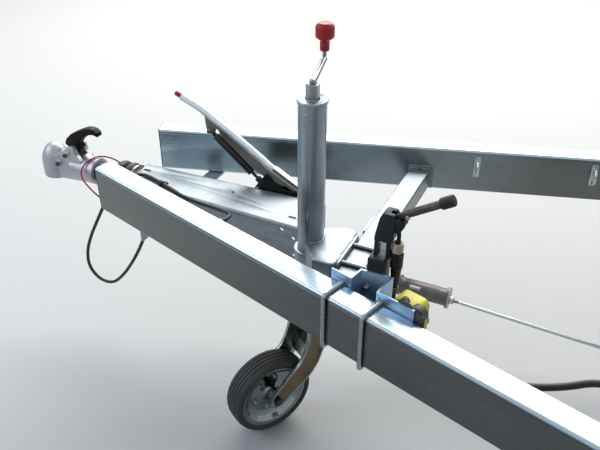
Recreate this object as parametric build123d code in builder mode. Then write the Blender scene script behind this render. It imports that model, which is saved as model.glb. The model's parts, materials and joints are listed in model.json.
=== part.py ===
"""Braked V-drawbar unit of a tipping trailer, millimetres, +Z up, +X to the rear of the trailer.

The origin is the centre of the four chassis bolts, level with the tops of the two beams. The coupling
is at the front, at negative X. The near beam, on the -Y side, carries the hand pump and the wheel chock.
"""

import os
from math import cos, pi, radians, sin, tan

from build123d import *

os.makedirs("parts", exist_ok=True)


def finish(builder, name):
    """Label a finished piece and write its file."""
    builder.part.label = name
    export_step(builder.part, f"parts/{name}.step")


# The two beams: extruded aluminium boxes that meet towards the coupling
beam_width = 54.0
beam_height = 120.0
beam_wall = 4.0
beam_corner = 6.0
half_angle = 16.88
front_half_gap = 101.0
bolts_behind_front = 1378.0
bolt_spacing_x = 60.0
beam_behind_bolts = 27.4
bolt_hole = 13.0
groove_depth = 1.2
groove_height = 3.0
groove_below_top = 8.0
plug_cap = 3.0
plug_insert = 18.0
plug_wall = 2.5
plug_play = 0.3

front_x = -bolts_behind_front
along = (cos(radians(half_angle)), -sin(radians(half_angle)))
inward = (sin(radians(half_angle)), cos(radians(half_angle)))
beam_length = (bolts_behind_front + bolt_spacing_x / 2 + beam_behind_bolts) / along[0]
bolt_line_y = front_half_gap + bolts_behind_front * tan(radians(half_angle)) + beam_width / 2 / along[0]


def near_point(run, off, up):
    """A point by the near beam: run along it, off inward from its inner face, up from its top."""
    return Vector(
        front_x + run * along[0] + off * inward[0],
        -front_half_gap + run * along[1] + off * inward[1],
        up,
    )


def near_flat(run=0.0, off=0.0, up=0.0):
    """Level plane on the near beam, X along the beam and Y inward."""
    return Plane(origin=near_point(run, off, up), x_dir=(*along, 0), z_dir=(0, 0, 1))


def near_section(run=0.0, off=0.0, up=0.0):
    """Plane across the near beam, X inward and Y up, facing along the beam."""
    return Plane(origin=near_point(run, off, up), x_dir=(*inward, 0), z_dir=(*along, 0))


def near_side(run=0.0, off=0.0, up=0.0):
    """Upright plane along the near beam, X along it and Y up, facing out."""
    return Plane(origin=near_point(run, off, up), x_dir=(*along, 0), z_dir=(-inward[0], -inward[1], 0))


def across(x, y=0.0, z=0.0):
    """Plane across the trailer at x, with X to the far side and Y up, facing rearward."""
    return Plane(origin=(x, y, z), x_dir=(0, 1, 0), z_dir=(1, 0, 0))


def upright(y, x=0.0, z=0.0):
    """Upright lengthwise plane at y, with X rearward and Y up, facing the near side."""
    return Plane(origin=(x, y, z), x_dir=(1, 0, 0), z_dir=(0, -1, 0))


def level(z, x=0.0, y=0.0):
    """Level plane at z, facing up."""
    return Plane(origin=(x, y, z))


with BuildPart() as beam_near:
    with BuildSketch(near_section()):
        with Locations((-beam_width / 2, -beam_height / 2)):
            RectangleRounded(beam_width, beam_height, beam_corner)
            RectangleRounded(
                beam_width - 2 * beam_wall, beam_height - 2 * beam_wall, beam_corner / 3, mode=Mode.SUBTRACT
            )
        groove_middle = -groove_below_top - groove_height / 2
        with Locations((-groove_depth / 2, groove_middle), (groove_depth / 2 - beam_width, groove_middle)):
            Rectangle(groove_depth, groove_height, mode=Mode.SUBTRACT)
    extrude(amount=beam_length)
    with BuildSketch(level(0)):
        with Locations((-bolt_spacing_x / 2, -bolt_line_y), (bolt_spacing_x / 2, -bolt_line_y)):
            Circle(bolt_hole / 2)
    extrude(amount=-beam_height, mode=Mode.SUBTRACT)
finish(beam_near, "beam_near")

with BuildPart() as beam_far:
    mirror(beam_near.part, about=Plane.XZ)
finish(beam_far, "beam_far")

with BuildPart() as plug_near:
    with BuildSketch(near_section()):
        with Locations((-beam_width / 2, -beam_height / 2)):
            RectangleRounded(beam_width, beam_height, beam_corner)
    extrude(amount=-plug_cap)
    fillet(plug_near.faces().sort_by(Axis.X)[0].edges(), 1.2)
    insert_less = 2 * (beam_wall + plug_play)
    hollow_less = insert_less + 2 * plug_wall
    with BuildSketch(near_section()):
        with Locations((-beam_width / 2, -beam_height / 2)):
            RectangleRounded(beam_width - insert_less, beam_height - insert_less, beam_corner / 3)
            RectangleRounded(
                beam_width - hollow_less, beam_height - hollow_less, beam_corner / 4, mode=Mode.SUBTRACT
            )
    extrude(amount=plug_insert)
finish(plug_near, "plug_near")

with BuildPart() as plug_far:
    mirror(plug_near.part, about=Plane.XZ)
finish(plug_far, "plug_far")

# Square cross members between the beams, each with a plate at either end
member_size = 53.0
member_wall = 4.0
member_top = -58.0
member_x = front_x + 662.0
rear_member_before_bolts = 120.0
rear_member_x = -rear_member_before_bolts
end_plate = 6.0
end_plate_rise = 4.0
member_bottom = member_top - member_size


def cross_member(first_x):
    """One member, from its front face at first_x, cut to the slant of the beams."""
    middle_x = first_x + member_size / 2
    middle_z = member_top - member_size / 2
    run = (middle_x - front_x) / along[0]
    near_cut = near_side(run, end_plate)
    far_cut = Plane(
        origin=(near_cut.origin.X, -near_cut.origin.Y, 0),
        x_dir=(along[0], -along[1], 0),
        z_dir=(-inward[0], inward[1], 0),
    )
    with BuildPart() as member:
        with BuildSketch(upright(0, middle_x, middle_z)):
            RectangleRounded(member_size, member_size, 4)
            RectangleRounded(
                member_size - 2 * member_wall, member_size - 2 * member_wall, 1.5, mode=Mode.SUBTRACT
            )
        extrude(amount=bolt_line_y, both=True)
        split(bisect_by=near_cut, keep=Keep.BOTTOM)
        split(bisect_by=far_cut, keep=Keep.BOTTOM)
        with BuildSketch(near_side(run, 0, middle_z)):
            Rectangle(member_size / along[0] + 8, member_size + 2 * end_plate_rise)
        plate = extrude(amount=-end_plate)
        mirror(plate, about=Plane.XZ)
    return member


finish(cross_member(member_x), "cross_member_front")

# The rear member also carries the guide of the brake rod, on its bottom
spring_front = front_x + 744.0
spring_length = 118.0
spring_rear = spring_front + spring_length
rod_slope = -0.048
rod_start = (spring_rear + 16, -221.0)
guide_x = rear_member_x + member_size / 2
guide_width = 50.0
guide_thick = 6.0
guide_below_rod = 22.0
guide_hole = 14.0
rod_at_guide = rod_start[1] + (guide_x - rod_start[0]) * rod_slope
member = cross_member(rear_member_x)
with BuildPart() as cross_rear:
    add(member.part)
    with BuildSketch(across(guide_x - guide_thick / 2)):
        with BuildLine():
            Polyline(
                (-guide_width / 2, member_bottom + 0.1),
                (-guide_width / 2, rod_at_guide),
                (-guide_width / 4, rod_at_guide - guide_below_rod),
                (guide_width / 4, rod_at_guide - guide_below_rod),
                (guide_width / 2, rod_at_guide),
                (guide_width / 2, member_bottom + 0.1),
                close=True,
            )
        make_face()
        with Locations((0, rod_at_guide)):
            Circle(guide_hole / 2, mode=Mode.SUBTRACT)
    extrude(amount=guide_thick)
finish(cross_rear, "cross_member_rear")

# Overrun housing: a pressed channel, open below, that widens to the rear
housing_front = front_x - 10.0
housing_length = 522.0
housing_rear = housing_front + housing_length
housing_top = -82.0
housing_front_half = 53.0
housing_rear_half = 70.0
housing_front_bottom = -165.0
housing_rear_bottom = -188.0
housing_wall = 4.0
housing_bend = 10.0
front_holes = [(70, -130), (210, -140)]
rear_holes = [(53, -98), (22, -115), (20, -164)]
tube_axis_z = -114.0


def housing_half(x):
    """Half width of the housing at x."""
    share = (x - housing_front) / (housing_rear - housing_front)
    return housing_front_half + share * (housing_rear_half - housing_front_half)


def housing_profile(x, half, bottom, inset):
    """Face across the housing at x, its two upper corners rounded."""
    top = housing_top - inset
    with BuildSketch(across(x, 0, (top + bottom) / 2)) as profile:
        Rectangle(2 * (half - inset), top - bottom)
        fillet(profile.vertices().group_by(Axis.Z)[-1], housing_bend - inset)
    return profile.sketch


with BuildPart() as housing:
    loft([
        housing_profile(housing_front, housing_front_half, housing_front_bottom, 0),
        housing_profile(housing_rear, housing_rear_half, housing_rear_bottom, 0),
    ])
    loft([
        housing_profile(housing_front, housing_front_half, housing_front_bottom - 10, housing_wall),
        housing_profile(housing_rear, housing_rear_half, housing_rear_bottom - 10, housing_wall),
    ], mode=Mode.SUBTRACT)
    with BuildSketch(level(housing_top)):
        with Locations((housing_front + 20, 16)):
            SlotOverall(24, 9)
        with Locations((housing_front + 289, 14)):
            Circle(4)
        with Locations((housing_rear - 42, -30)):
            SlotOverall(22, 7)
    extrude(amount=-2 * housing_wall, mode=Mode.SUBTRACT)
    with BuildSketch(upright(0)):
        with Locations([(housing_front + x, z) for x, z in front_holes]):
            Circle(5)
        with Locations([(housing_rear - x, z) for x, z in rear_holes]):
            Circle(5)
    extrude(amount=2 * housing_rear_half, mode=Mode.SUBTRACT)
finish(housing, "overrun_housing")

# Angle brackets under the beams, welded to the flanks near the housing's front
angle_x = front_x + 125.0
angle_length = 40.0
angle_thick = 6.0
angle_drop = 38.0
angle_outer = 185.0
with BuildPart() as angles:
    with BuildSketch(level(-beam_height - angle_thick)):
        with BuildLine():
            Polyline(
                (angle_x, -housing_half(angle_x)),
                (angle_x + angle_length, -housing_half(angle_x + angle_length)),
                (angle_x + angle_length, -angle_outer),
                (angle_x, -angle_outer),
                close=True,
            )
        make_face()
    extrude(amount=angle_thick)
    with BuildSketch(level(-beam_height - angle_drop)):
        with BuildLine():
            Polyline(
                (angle_x, -housing_half(angle_x)),
                (angle_x + angle_thick, -housing_half(angle_x + angle_thick)),
                (angle_x + angle_thick, -angle_outer),
                (angle_x, -angle_outer),
                close=True,
            )
        make_face()
    extrude(amount=angle_drop)
    mirror(angles.part, about=Plane.XZ)
finish(angles, "housing_brackets")

# Stay from the housing's rear to the member, with the pivot of the overrun lever
stay_top = -146.0
stay_height = 42.0
stay_width = 56.0
stay_wall = 4.0
rear_plate = 5.0
hanger_thick = 6.0
hanger_half = 40.0
lever_axle_x = housing_rear + 63
lever_axle_z = -168.0
lever_axle_radius = 6.0
lever_half = 11.0
link_z = -217.0
with BuildPart() as stay:
    with BuildSketch(across(housing_rear)):
        with Locations((0, (housing_top - housing_wall + housing_rear_bottom) / 2)):
            Rectangle(
                2 * (housing_rear_half - housing_wall), housing_top - housing_wall - housing_rear_bottom
            )
    extrude(amount=rear_plate)
    with BuildSketch(across(housing_rear + rear_plate, 0, stay_top - stay_height / 2)):
        Rectangle(stay_width, stay_height)
        with Locations((0, -stay_wall / 2)):
            Rectangle(stay_width - 2 * stay_wall, stay_height - stay_wall, mode=Mode.SUBTRACT)
    extrude(amount=member_x - hanger_thick - housing_rear - rear_plate)
    with BuildSketch(across(member_x - hanger_thick)):
        hanger_bottom = stay_top - stay_height
        with Locations((0, (member_top - 3 + hanger_bottom) / 2)):
            Rectangle(2 * hanger_half, member_top - 3 - hanger_bottom)
    extrude(amount=hanger_thick)
    with Locations(upright(0, lever_axle_x, lever_axle_z)):
        Cylinder(lever_axle_radius + 0.1, 2 * stay_width, mode=Mode.SUBTRACT)
finish(stay, "rear_stay")

with BuildPart() as overrun_lever:
    with BuildSketch(upright(-6, lever_axle_x, 0)):
        with BuildLine():
            Polyline(
                (-14, lever_axle_z + 14),
                (14, lever_axle_z + 14),
                (lever_half, lever_axle_z - 14),
                (lever_half, link_z - 12),
                (-lever_half, link_z - 12),
                (-lever_half, lever_axle_z - 14),
                close=True,
            )
        make_face()
    extrude(amount=-12)
    with Locations(upright(0, lever_axle_x, lever_axle_z)):
        Cylinder(lever_axle_radius, stay_width + 12)
finish(overrun_lever, "overrun_lever")

# Spring cylinder of the brake linkage, with its link to the overrun lever
spring_radius = 21.0
spring_flange = 25.0
link_radius = 6.0
rod_radius = 4.0
with BuildPart() as spring_cylinder:
    with BuildSketch(Plane.XZ):
        with BuildLine():
            Polyline(
                (lever_axle_x + lever_half, link_z),
                (lever_axle_x + lever_half, link_z + link_radius + 4),
                (lever_axle_x + 34, link_z + link_radius + 4),
                (lever_axle_x + 38, link_z + link_radius),
                (spring_front - 8, link_z + link_radius),
                (spring_front - 8, link_z + 14),
                (spring_front, link_z + spring_flange),
                (spring_front + 5, link_z + spring_flange),
                (spring_front + 5, link_z + spring_radius),
                (spring_rear, link_z + spring_radius),
                (spring_rear, link_z + spring_flange),
                (spring_rear + 5, link_z + spring_flange),
                (spring_rear + 5, link_z),
                close=True,
            )
        make_face()
    revolve(axis=Axis((0, 0, link_z), (1, 0, 0)))
finish(spring_cylinder, "spring_cylinder")

rod_length = 560.0
rod_nut = 9.0
with BuildPart() as brake_rod:
    with BuildSketch(across(spring_rear + 5, 0, rod_start[1])):
        Circle(rod_nut)
    extrude(amount=rod_start[0] - spring_rear - 5)
    rod_plane = Plane(origin=(rod_start[0] - 2, 0, rod_start[1]), x_dir=(0, 1, 0), z_dir=(1, 0, rod_slope))
    with BuildSketch(rod_plane):
        Circle(rod_radius)
    extrude(amount=rod_length)
finish(brake_rod, "brake_rod")

# Drawtube, its guide flange and the bellows
drawtube_radius = 27.5
drawtube_wall = 5.0
slide_play = 0.1
flange_radius = 46.0
flange_thick = 6.0
drawtube_front = front_x - 214.0
drawtube_rear = front_x + 255.0
bellows_front = front_x - 76.0
bellows_rear = housing_front - flange_thick
bellows_ribs = 3
bellows_crest = 46.0
bellows_root = 37.0
with BuildPart() as drawtube:
    with BuildSketch(across(drawtube_front, 0, tube_axis_z)):
        Circle(drawtube_radius)
        Circle(drawtube_radius - drawtube_wall, mode=Mode.SUBTRACT)
    extrude(amount=drawtube_rear - drawtube_front)
finish(drawtube, "drawtube")

with BuildPart() as guide_flange:
    with BuildSketch(across(bellows_rear, 0, tube_axis_z)):
        Circle(flange_radius)
        Circle(drawtube_radius + slide_play, mode=Mode.SUBTRACT)
    extrude(amount=flange_thick)
    with BuildSketch(across(housing_front, 0, tube_axis_z)):
        Circle(drawtube_radius + 9)
        Circle(drawtube_radius + slide_play, mode=Mode.SUBTRACT)
        with Locations((0, drawtube_radius + 30 - housing_wall)):
            Rectangle(100, 60, mode=Mode.SUBTRACT)
    extrude(amount=60)
finish(guide_flange, "guide_flange")

rib_pitch = (bellows_rear - bellows_front) / bellows_ribs
with BuildPart() as bellows:
    with BuildSketch(Plane.XZ):
        with BuildLine():
            outline = [(bellows_front, drawtube_radius + 0.3), (bellows_front, bellows_root)]
            for rib in range(bellows_ribs):
                rib_x = bellows_front + rib * rib_pitch
                outline += [
                    (rib_x + 0.25 * rib_pitch, bellows_root),
                    (rib_x + 0.40 * rib_pitch, bellows_crest),
                    (rib_x + 0.75 * rib_pitch, bellows_crest),
                    (rib_x + 0.90 * rib_pitch, bellows_root),
                ]
            outline += [(bellows_rear, bellows_root), (bellows_rear, drawtube_radius + 0.3)]
            Polyline(*[(x, tube_axis_z + radius) for x, radius in outline], close=True)
        make_face()
    revolve(axis=Axis((0, 0, tube_axis_z), (1, 0, 0)))
finish(bellows, "bellows")

# Coupling head: ball bowl, neck with the handle's cheeks, and the collar on the drawtube
ball_x = front_x - 296.0
ball_z = -127.0
socket_radius = 25.3
bowl_radius = 40.0
bowl_bottom = -152.0
bowl_shoulder = -115.0
bowl_top = -56.0
neck_half = 28.0
collar_front = front_x - 224.0
collar_rear = front_x - 142.0
collar_radius = 38.0
handle_axle = (front_x - 227.0, -68.0)
handle_axle_radius = 5.0
handle_slot = 27.0
handle_width = 26.0
with BuildPart() as coupling_head:
    with BuildSketch(Plane(origin=(ball_x, 0, 0), x_dir=(1, 0, 0), z_dir=(0, -1, 0))):
        with BuildLine():
            bowl_line = [(0, bowl_top), (0, bowl_bottom), (bowl_radius, bowl_bottom)]
            side = Polyline(*bowl_line, (bowl_radius, bowl_shoulder))
            Spline(side @ 1, (bowl_radius * 0.71, -73.3), (0, bowl_top), tangents=((0, 1), (-1, 0)))
        make_face()
    revolve(axis=Axis((ball_x, 0, 0), (0, 0, 1)))
    with BuildSketch(upright(neck_half)):
        with BuildLine():
            Polyline(
                (front_x - 308, bowl_bottom + 4),
                (front_x - 310, -112),
                (front_x - 302, -94),
                (front_x - 264, -76),
                (front_x - 242, -60),
                (front_x - 224, -46),
                (front_x - 211, -41),
                (front_x - 201, -43),
                (front_x - 195, -66),
                (front_x - 182, -80),
                (front_x - 182, -142),
                (front_x - 250, bowl_bottom + 4),
                close=True,
            )
        make_face()
    extrude(amount=2 * neck_half)
    fillet(
        coupling_head.edges().filter_by(Axis.Y).group_by(SortBy.LENGTH)[-1].filter_by(
            lambda edge: edge.center().Z > -100 and edge.center().X < front_x - 190
        ),
        4,
    )
    with BuildSketch(across(collar_front, 0, tube_axis_z)):
        Circle(collar_radius)
    extrude(amount=collar_rear - collar_front)
    with BuildSketch(across(collar_front, 0, tube_axis_z)):
        Circle(drawtube_radius)
    extrude(amount=collar_rear - collar_front, mode=Mode.SUBTRACT)
    with BuildSketch(level(bowl_bottom, ball_x)):
        Circle(socket_radius)
    extrude(amount=ball_z - bowl_bottom, mode=Mode.SUBTRACT)
    with Locations((ball_x, 0, ball_z)):
        Sphere(socket_radius, mode=Mode.SUBTRACT)
    with BuildSketch(upright(handle_slot / 2)):
        with Locations((front_x - 218, -59)):
            Rectangle(76, 46)
    extrude(amount=handle_slot, mode=Mode.SUBTRACT)
    with Locations(upright(0, *handle_axle)):
        Cylinder(handle_axle_radius, 2 * neck_half)
    for x, z in (handle_axle, (front_x - 260, -101)):
        with BuildSketch(upright(neck_half + 6, x, z)):
            Circle(8)
        extrude(amount=6)
        with BuildSketch(upright(-neck_half, x, z)):
            Circle(8)
        extrude(amount=6)
    with BuildSketch(upright(9)):
        with BuildLine():
            Polyline(
                (front_x - 190, -84),
                (front_x - 187, -70),
                (front_x - 178, -68),
                (front_x - 167, -77),
                (front_x - 167, -84),
                close=True,
            )
        make_face()
    extrude(amount=18)
finish(coupling_head, "coupling_head")

handle_outline = [
    (-240, -46), (-233, -26), (-217, -11), (-190, 4), (-163, 16), (-146, 19), (-134, 17), (-124, 9),
    (-123, -1), (-136, 2), (-150, 0), (-168, -9), (-184, -24), (-192, -36), (-186, -48), (-200, -57),
    (-215, -60),
]
with BuildPart() as coupling_handle:
    with BuildSketch(upright(handle_width / 2, front_x)):
        with BuildLine():
            Polyline(*handle_outline, close=True)
        make_face()
    extrude(amount=handle_width)
    fillet(
        coupling_handle.edges().filter_by(GeomType.LINE).filter_by(
            lambda edge: abs(edge.center().Y) > handle_width / 2 - 1 and edge.center().X > front_x - 234
        ),
        5,
    )
    with Locations(upright(0, *handle_axle)):
        Cylinder(12, handle_width)
        Cylinder(handle_axle_radius + slide_play, 2 * handle_width, mode=Mode.SUBTRACT)
finish(coupling_handle, "coupling_handle")

# Parking brake lever on the housing's far flank, its gas spring and their foot
lever_y = 84.0
lever_axle = (front_x + 457.8, -86.1)
lever_line = [(427, -69.6), (360, -32.6), (330, -10), (236.6, 49.7), (151, 100), (97.7, 121.7)]
lever_width = 17.0
lever_depth = 14.0
lever_sheet = 2.5
sheath_depth = 23.0
cheek_gap = 18.0
cheek_thick = 3.0
foot_front = 306.0
foot_rear = 488.0
foot_bottom = -132.0
foot_top = -43.0
foot_base = 4.0
gas_top = (front_x + 180.0, 43.5)
gas_foot = (front_x + 334.4, -84.0)
gas_radius = 11.0
gas_rod_radius = 4.0
gas_start = 20.0
gas_end = 153.0
pin_radius = 4.0

foot_outline = [
    (foot_front, foot_bottom), (foot_front, -98), (foot_front + 10, -82), (336, -54), (344, foot_top),
    (354, foot_top - 4), (366, -62), (408, -78), (440, -74), (foot_rear - 12, -74), (foot_rear, -86),
    (foot_rear, foot_bottom),
]
near_cheek = lever_y - cheek_gap / 2 - cheek_thick
far_cheek = lever_y + cheek_gap / 2
with BuildPart() as lever_foot:
    for cheek in (near_cheek, far_cheek):
        with BuildSketch(upright(cheek, front_x)):
            with BuildLine():
                Polyline(*foot_outline, close=True)
            make_face()
        extrude(amount=-cheek_thick)
    with BuildSketch(level(foot_bottom)):
        with Locations((front_x + (foot_front + foot_rear) / 2, lever_y)):
            Rectangle(foot_rear - foot_front, cheek_gap)
    extrude(amount=foot_base)
    with BuildSketch(level(foot_bottom)):
        with BuildLine():
            Polyline(
                (front_x + foot_front, housing_half(front_x + foot_front) + 0.01),
                (front_x + foot_rear, housing_half(front_x + foot_rear) + 0.01),
                (front_x + foot_rear, near_cheek),
                (front_x + foot_front, near_cheek),
                close=True,
            )
        make_face()
    extrude(amount=housing_top - housing_bend - foot_bottom)
    with Locations(upright(lever_y, *lever_axle)):
        Cylinder(pin_radius, cheek_gap + 2 * cheek_thick + 8)
finish(lever_foot, "lever_foot")

# The lever: a bar that deepens into a pressed channel, open below, with the gas spring's fork beneath
channel_outline = [
    (160, 95), (236.6, 49.7), (330, -10), (360, -32.6), (404, -57),
    (394, -70), (350, -60), (306.5, -39), (218, 34), (196, 62),
]
channel_hollow = [
    (206, 51), (236.6, 37), (326, -21), (352, -42), (384, -60), (380, -100), (300, -100), (200, 20),
]
with BuildPart() as brake_lever:
    with BuildSketch(upright(lever_y + lever_width / 2, front_x)):
        with BuildLine():
            lever_path = Polyline(*lever_line)
        trace(lever_path, lever_depth)
        with Locations(*lever_line[1:-1]):
            Circle(lever_depth / 2)
    extrude(amount=lever_width)
    with BuildSketch(upright(lever_y + lever_width / 2, front_x)):
        with BuildLine():
            Polyline(*channel_outline, close=True)
        make_face()
    extrude(amount=lever_width)
    with BuildSketch(upright(lever_y + lever_width / 2 - lever_sheet, front_x)):
        with BuildLine():
            Polyline(*channel_hollow, close=True)
        make_face()
    extrude(amount=lever_width - 2 * lever_sheet, mode=Mode.SUBTRACT)
    with BuildSketch(upright(lever_y + lever_width / 2, front_x)):
        with BuildLine():
            sheath = Line((lever_axle[0] - front_x, lever_axle[1]), lever_line[1])
        trace(sheath, sheath_depth)
        with Locations((lever_axle[0] - front_x, lever_axle[1])):
            Circle(sheath_depth / 2)
        with BuildLine():
            Polyline(
                (gas_top[0] - front_x - 9, gas_top[1] - 7),
                (gas_top[0] - front_x - 12, 90),
                (gas_top[0] - front_x + 26, 72),
                (gas_top[0] - front_x + 9, gas_top[1] - 7),
                close=True,
            )
        make_face()
    extrude(amount=lever_width)
    with BuildSketch(upright(lever_y + 4.5, *gas_top)):
        Circle(14)
    extrude(amount=9, mode=Mode.SUBTRACT)
    with Locations(upright(lever_y, *gas_top)):
        Cylinder(3, lever_width)
    with Locations(upright(lever_y, *lever_axle)):
        Cylinder(pin_radius + slide_play, 2 * lever_width, mode=Mode.SUBTRACT)
finish(brake_lever, "brake_lever")

button_start = lever_line[-1]
button_way = (lever_line[-1][0] - lever_line[-2][0], 0, lever_line[-1][1] - lever_line[-2][1])
with BuildPart() as release_button:
    with BuildSketch(Plane(
        origin=(front_x + button_start[0], lever_y, button_start[1]), x_dir=(0, 1, 0), z_dir=button_way
    )):
        Circle(6.5)
    extrude(amount=20)
    fillet(release_button.faces().sort_by(Axis.X)[0].edges(), 2.5)
finish(release_button, "release_button")

gas_axis = Vector(gas_foot[0] - gas_top[0], 0, gas_foot[1] - gas_top[1])
gas_reach = gas_axis.length
gas_way = gas_axis.normalized()


def gas_plane(distance):
    """Plane square to the gas spring, at a distance below its top pin."""
    origin = Vector(gas_top[0], lever_y, gas_top[1]) + gas_way * distance
    return Plane(origin=origin, x_dir=(0, 1, 0), z_dir=gas_way)


with BuildPart() as gas_cylinder:
    with BuildSketch(gas_plane(gas_start)):
        Circle(gas_radius)
    extrude(amount=gas_end - gas_start)
    with BuildSketch(gas_plane(gas_start + 8)):
        Circle(gas_rod_radius + 0.1)
    extrude(amount=gas_end, mode=Mode.SUBTRACT)
    with BuildSketch(gas_plane(0)):
        Rectangle(8.4, 11)
    extrude(amount=gas_start)
    with Locations(upright(lever_y, *gas_top)):
        Cylinder(8, 8.4)
    with Locations(upright(lever_y, *gas_top)):
        Cylinder(3 + slide_play, 20, mode=Mode.SUBTRACT)
finish(gas_cylinder, "gas_cylinder")

with BuildPart() as gas_rod:
    with BuildSketch(gas_plane(gas_start + 10)):
        Circle(gas_rod_radius)
    extrude(amount=gas_reach - gas_start - 10)
    with Locations(upright(lever_y, *gas_foot)):
        Cylinder(8, 12)
finish(gas_rod, "gas_rod")

# Jockey wheel: outer tube in its saddle, inner tube, swivelling fork and wheel
jockey_x = front_x + 566.0
jockey_y = -134.0
jockey_radius = 30.0
jockey_wall = 3.5
jockey_top = 285.0
jockey_cap = 32.0
jockey_bottom = -160.0
inner_radius = jockey_radius - jockey_wall - slide_play
inner_length = 330.0
inner_floor = 8.0
inner_wall = 3.0
crown_top = -268.0
crown_thick = 6.0
fork_heading = 238.5
trail = 120.0
wheel_radius = 107.5
wheel_width = 65.0
ground_z = -570.0
fork_half = 42.0
fork_plate = 4.0
fork_rim = 12.0

trail_way = (cos(radians(fork_heading)), sin(radians(fork_heading)))
wheel_centre = (
    jockey_x + trail * trail_way[0],
    jockey_y + trail * trail_way[1],
    ground_z + wheel_radius,
)


def fork_side(off):
    """Upright plane along the fork, X forward along the trail and Y up, off towards the near side."""
    return Plane(
        origin=(jockey_x - off * -trail_way[1], jockey_y - off * trail_way[0], 0),
        x_dir=(trail_way[0], trail_way[1], 0),
        z_dir=(trail_way[1], -trail_way[0], 0),
    )


with BuildPart() as jockey_tube:
    with BuildSketch(level(jockey_bottom, jockey_x, jockey_y)):
        Circle(jockey_radius)
    extrude(amount=jockey_top - jockey_bottom)
    with BuildSketch(level(jockey_bottom, jockey_x, jockey_y)):
        Circle(jockey_radius - jockey_wall)
    extrude(amount=jockey_top - 8 - jockey_bottom, mode=Mode.SUBTRACT)
    with BuildSketch(level(jockey_top, jockey_x, jockey_y)):
        Circle(jockey_cap)
    extrude(amount=-7)
    fillet(jockey_tube.edges().filter_by(GeomType.CIRCLE).group_by(SortBy.RADIUS)[-1].sort_by(Axis.Z)[-1], 3)
    with BuildSketch(level(jockey_top, jockey_x, jockey_y)):
        Circle(16)
    extrude(amount=4)
    with BuildSketch(upright(jockey_y, jockey_x)):
        with Locations((5, 38)):
            Circle(3.5)
    extrude(amount=jockey_radius + 5, mode=Mode.SUBTRACT)
finish(jockey_tube, "jockey_tube")

saddle_top = -44.0
saddle_depth = 56.0
saddle_wall = 4.0
clamp_plate = 6.0
clamp_bottom = -130.0
saddle_rear = member_x - clamp_plate
saddle_far = -68.0
saddle_near = -216.0
clamp_bolts = (-112.0, -184.0)
clamp_bolt_radius = 4.0
ring_radius = jockey_radius + 7
saddle_outline = [
    (saddle_rear, saddle_far), (jockey_x + 58, saddle_far), (jockey_x, jockey_y + 32),
    (jockey_x, jockey_y - 32), (jockey_x + 40, saddle_near), (saddle_rear, saddle_near),
]
with BuildPart() as saddle:
    with BuildSketch(level(saddle_top)):
        with BuildLine():
            Polyline(*saddle_outline, close=True)
        plate_face = make_face()
        fillet(plate_face.vertices().group_by(Axis.X)[-1], 14)
    extrude(amount=-saddle_depth)
    saddle_roof = saddle.faces().sort_by(Axis.Z)[-1]
    fillet(saddle_roof.edges().filter_by(lambda edge: edge.center().X > jockey_x + 5), 3.5)
    with BuildSketch(level(saddle_top - saddle_wall)):
        with BuildLine():
            Polyline(*saddle_outline, close=True)
        hollow_face = make_face()
        fillet(hollow_face.vertices().group_by(Axis.X)[-1], 14)
        offset(amount=-saddle_wall, kind=Kind.INTERSECTION)
    extrude(amount=-saddle_depth, mode=Mode.SUBTRACT)
    with BuildSketch(across(saddle_rear)):
        with Locations(((saddle_far + saddle_near) / 2, (saddle_top - 2 + clamp_bottom) / 2)):
            RectangleRounded(saddle_far - saddle_near - 24, saddle_top - 2 - clamp_bottom, 8)
    extrude(amount=clamp_plate)
    with BuildSketch(level(clamp_bottom)):
        with Locations((jockey_x, jockey_y)):
            Circle(ring_radius)
        with Locations(((jockey_x + saddle_rear) / 2, jockey_y)):
            Rectangle(saddle_rear - jockey_x, 22)
    extrude(amount=saddle_depth)
    with BuildSketch(level(0)):
        with Locations((jockey_x, jockey_y)):
            Circle(jockey_radius + 0.1)
    extrude(amount=-200, mode=Mode.SUBTRACT)
    with BuildSketch(across(saddle_rear)):
        with Locations([
            (y, z)
            for y in clamp_bolts
            for z in (member_top + clamp_bolt_radius, member_bottom - clamp_bolt_radius)
        ]):
            Circle(clamp_bolt_radius + 0.3)
    extrude(amount=clamp_plate, mode=Mode.SUBTRACT)
    with BuildSketch(level(0)):
        with Locations([(saddle_rear - 10, y) for y in clamp_bolts]):
            Rectangle(20, 18)
    extrude(amount=member_top - 8, mode=Mode.SUBTRACT)
finish(saddle, "jockey_saddle")

with BuildPart() as jockey_u_bolts:
    for y in clamp_bolts:
        leg_end = saddle_rear - 16
        leg_rear = member_x + member_size + clamp_bolt_radius + 0.1
        leg_top = member_top + clamp_bolt_radius + 0.1
        leg_bottom = member_bottom - clamp_bolt_radius - 0.1
        with BuildLine() as bolt_line:
            FilletPolyline(
                (leg_end, y, leg_top), (leg_rear, y, leg_top), (leg_rear, y, leg_bottom),
                (leg_end, y, leg_bottom), radius=6,
            )
        with BuildSketch(Plane(origin=bolt_line.line @ 0, z_dir=bolt_line.line % 0)):
            Circle(clamp_bolt_radius)
        sweep(path=bolt_line.line)
        for z in (member_top + clamp_bolt_radius + 0.1, member_bottom - clamp_bolt_radius - 0.1):
            with BuildSketch(across(saddle_rear - 8, y, z)):
                RegularPolygon(7.5, 6)
            extrude(amount=8)
finish(jockey_u_bolts, "jockey_u_bolts")

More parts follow.
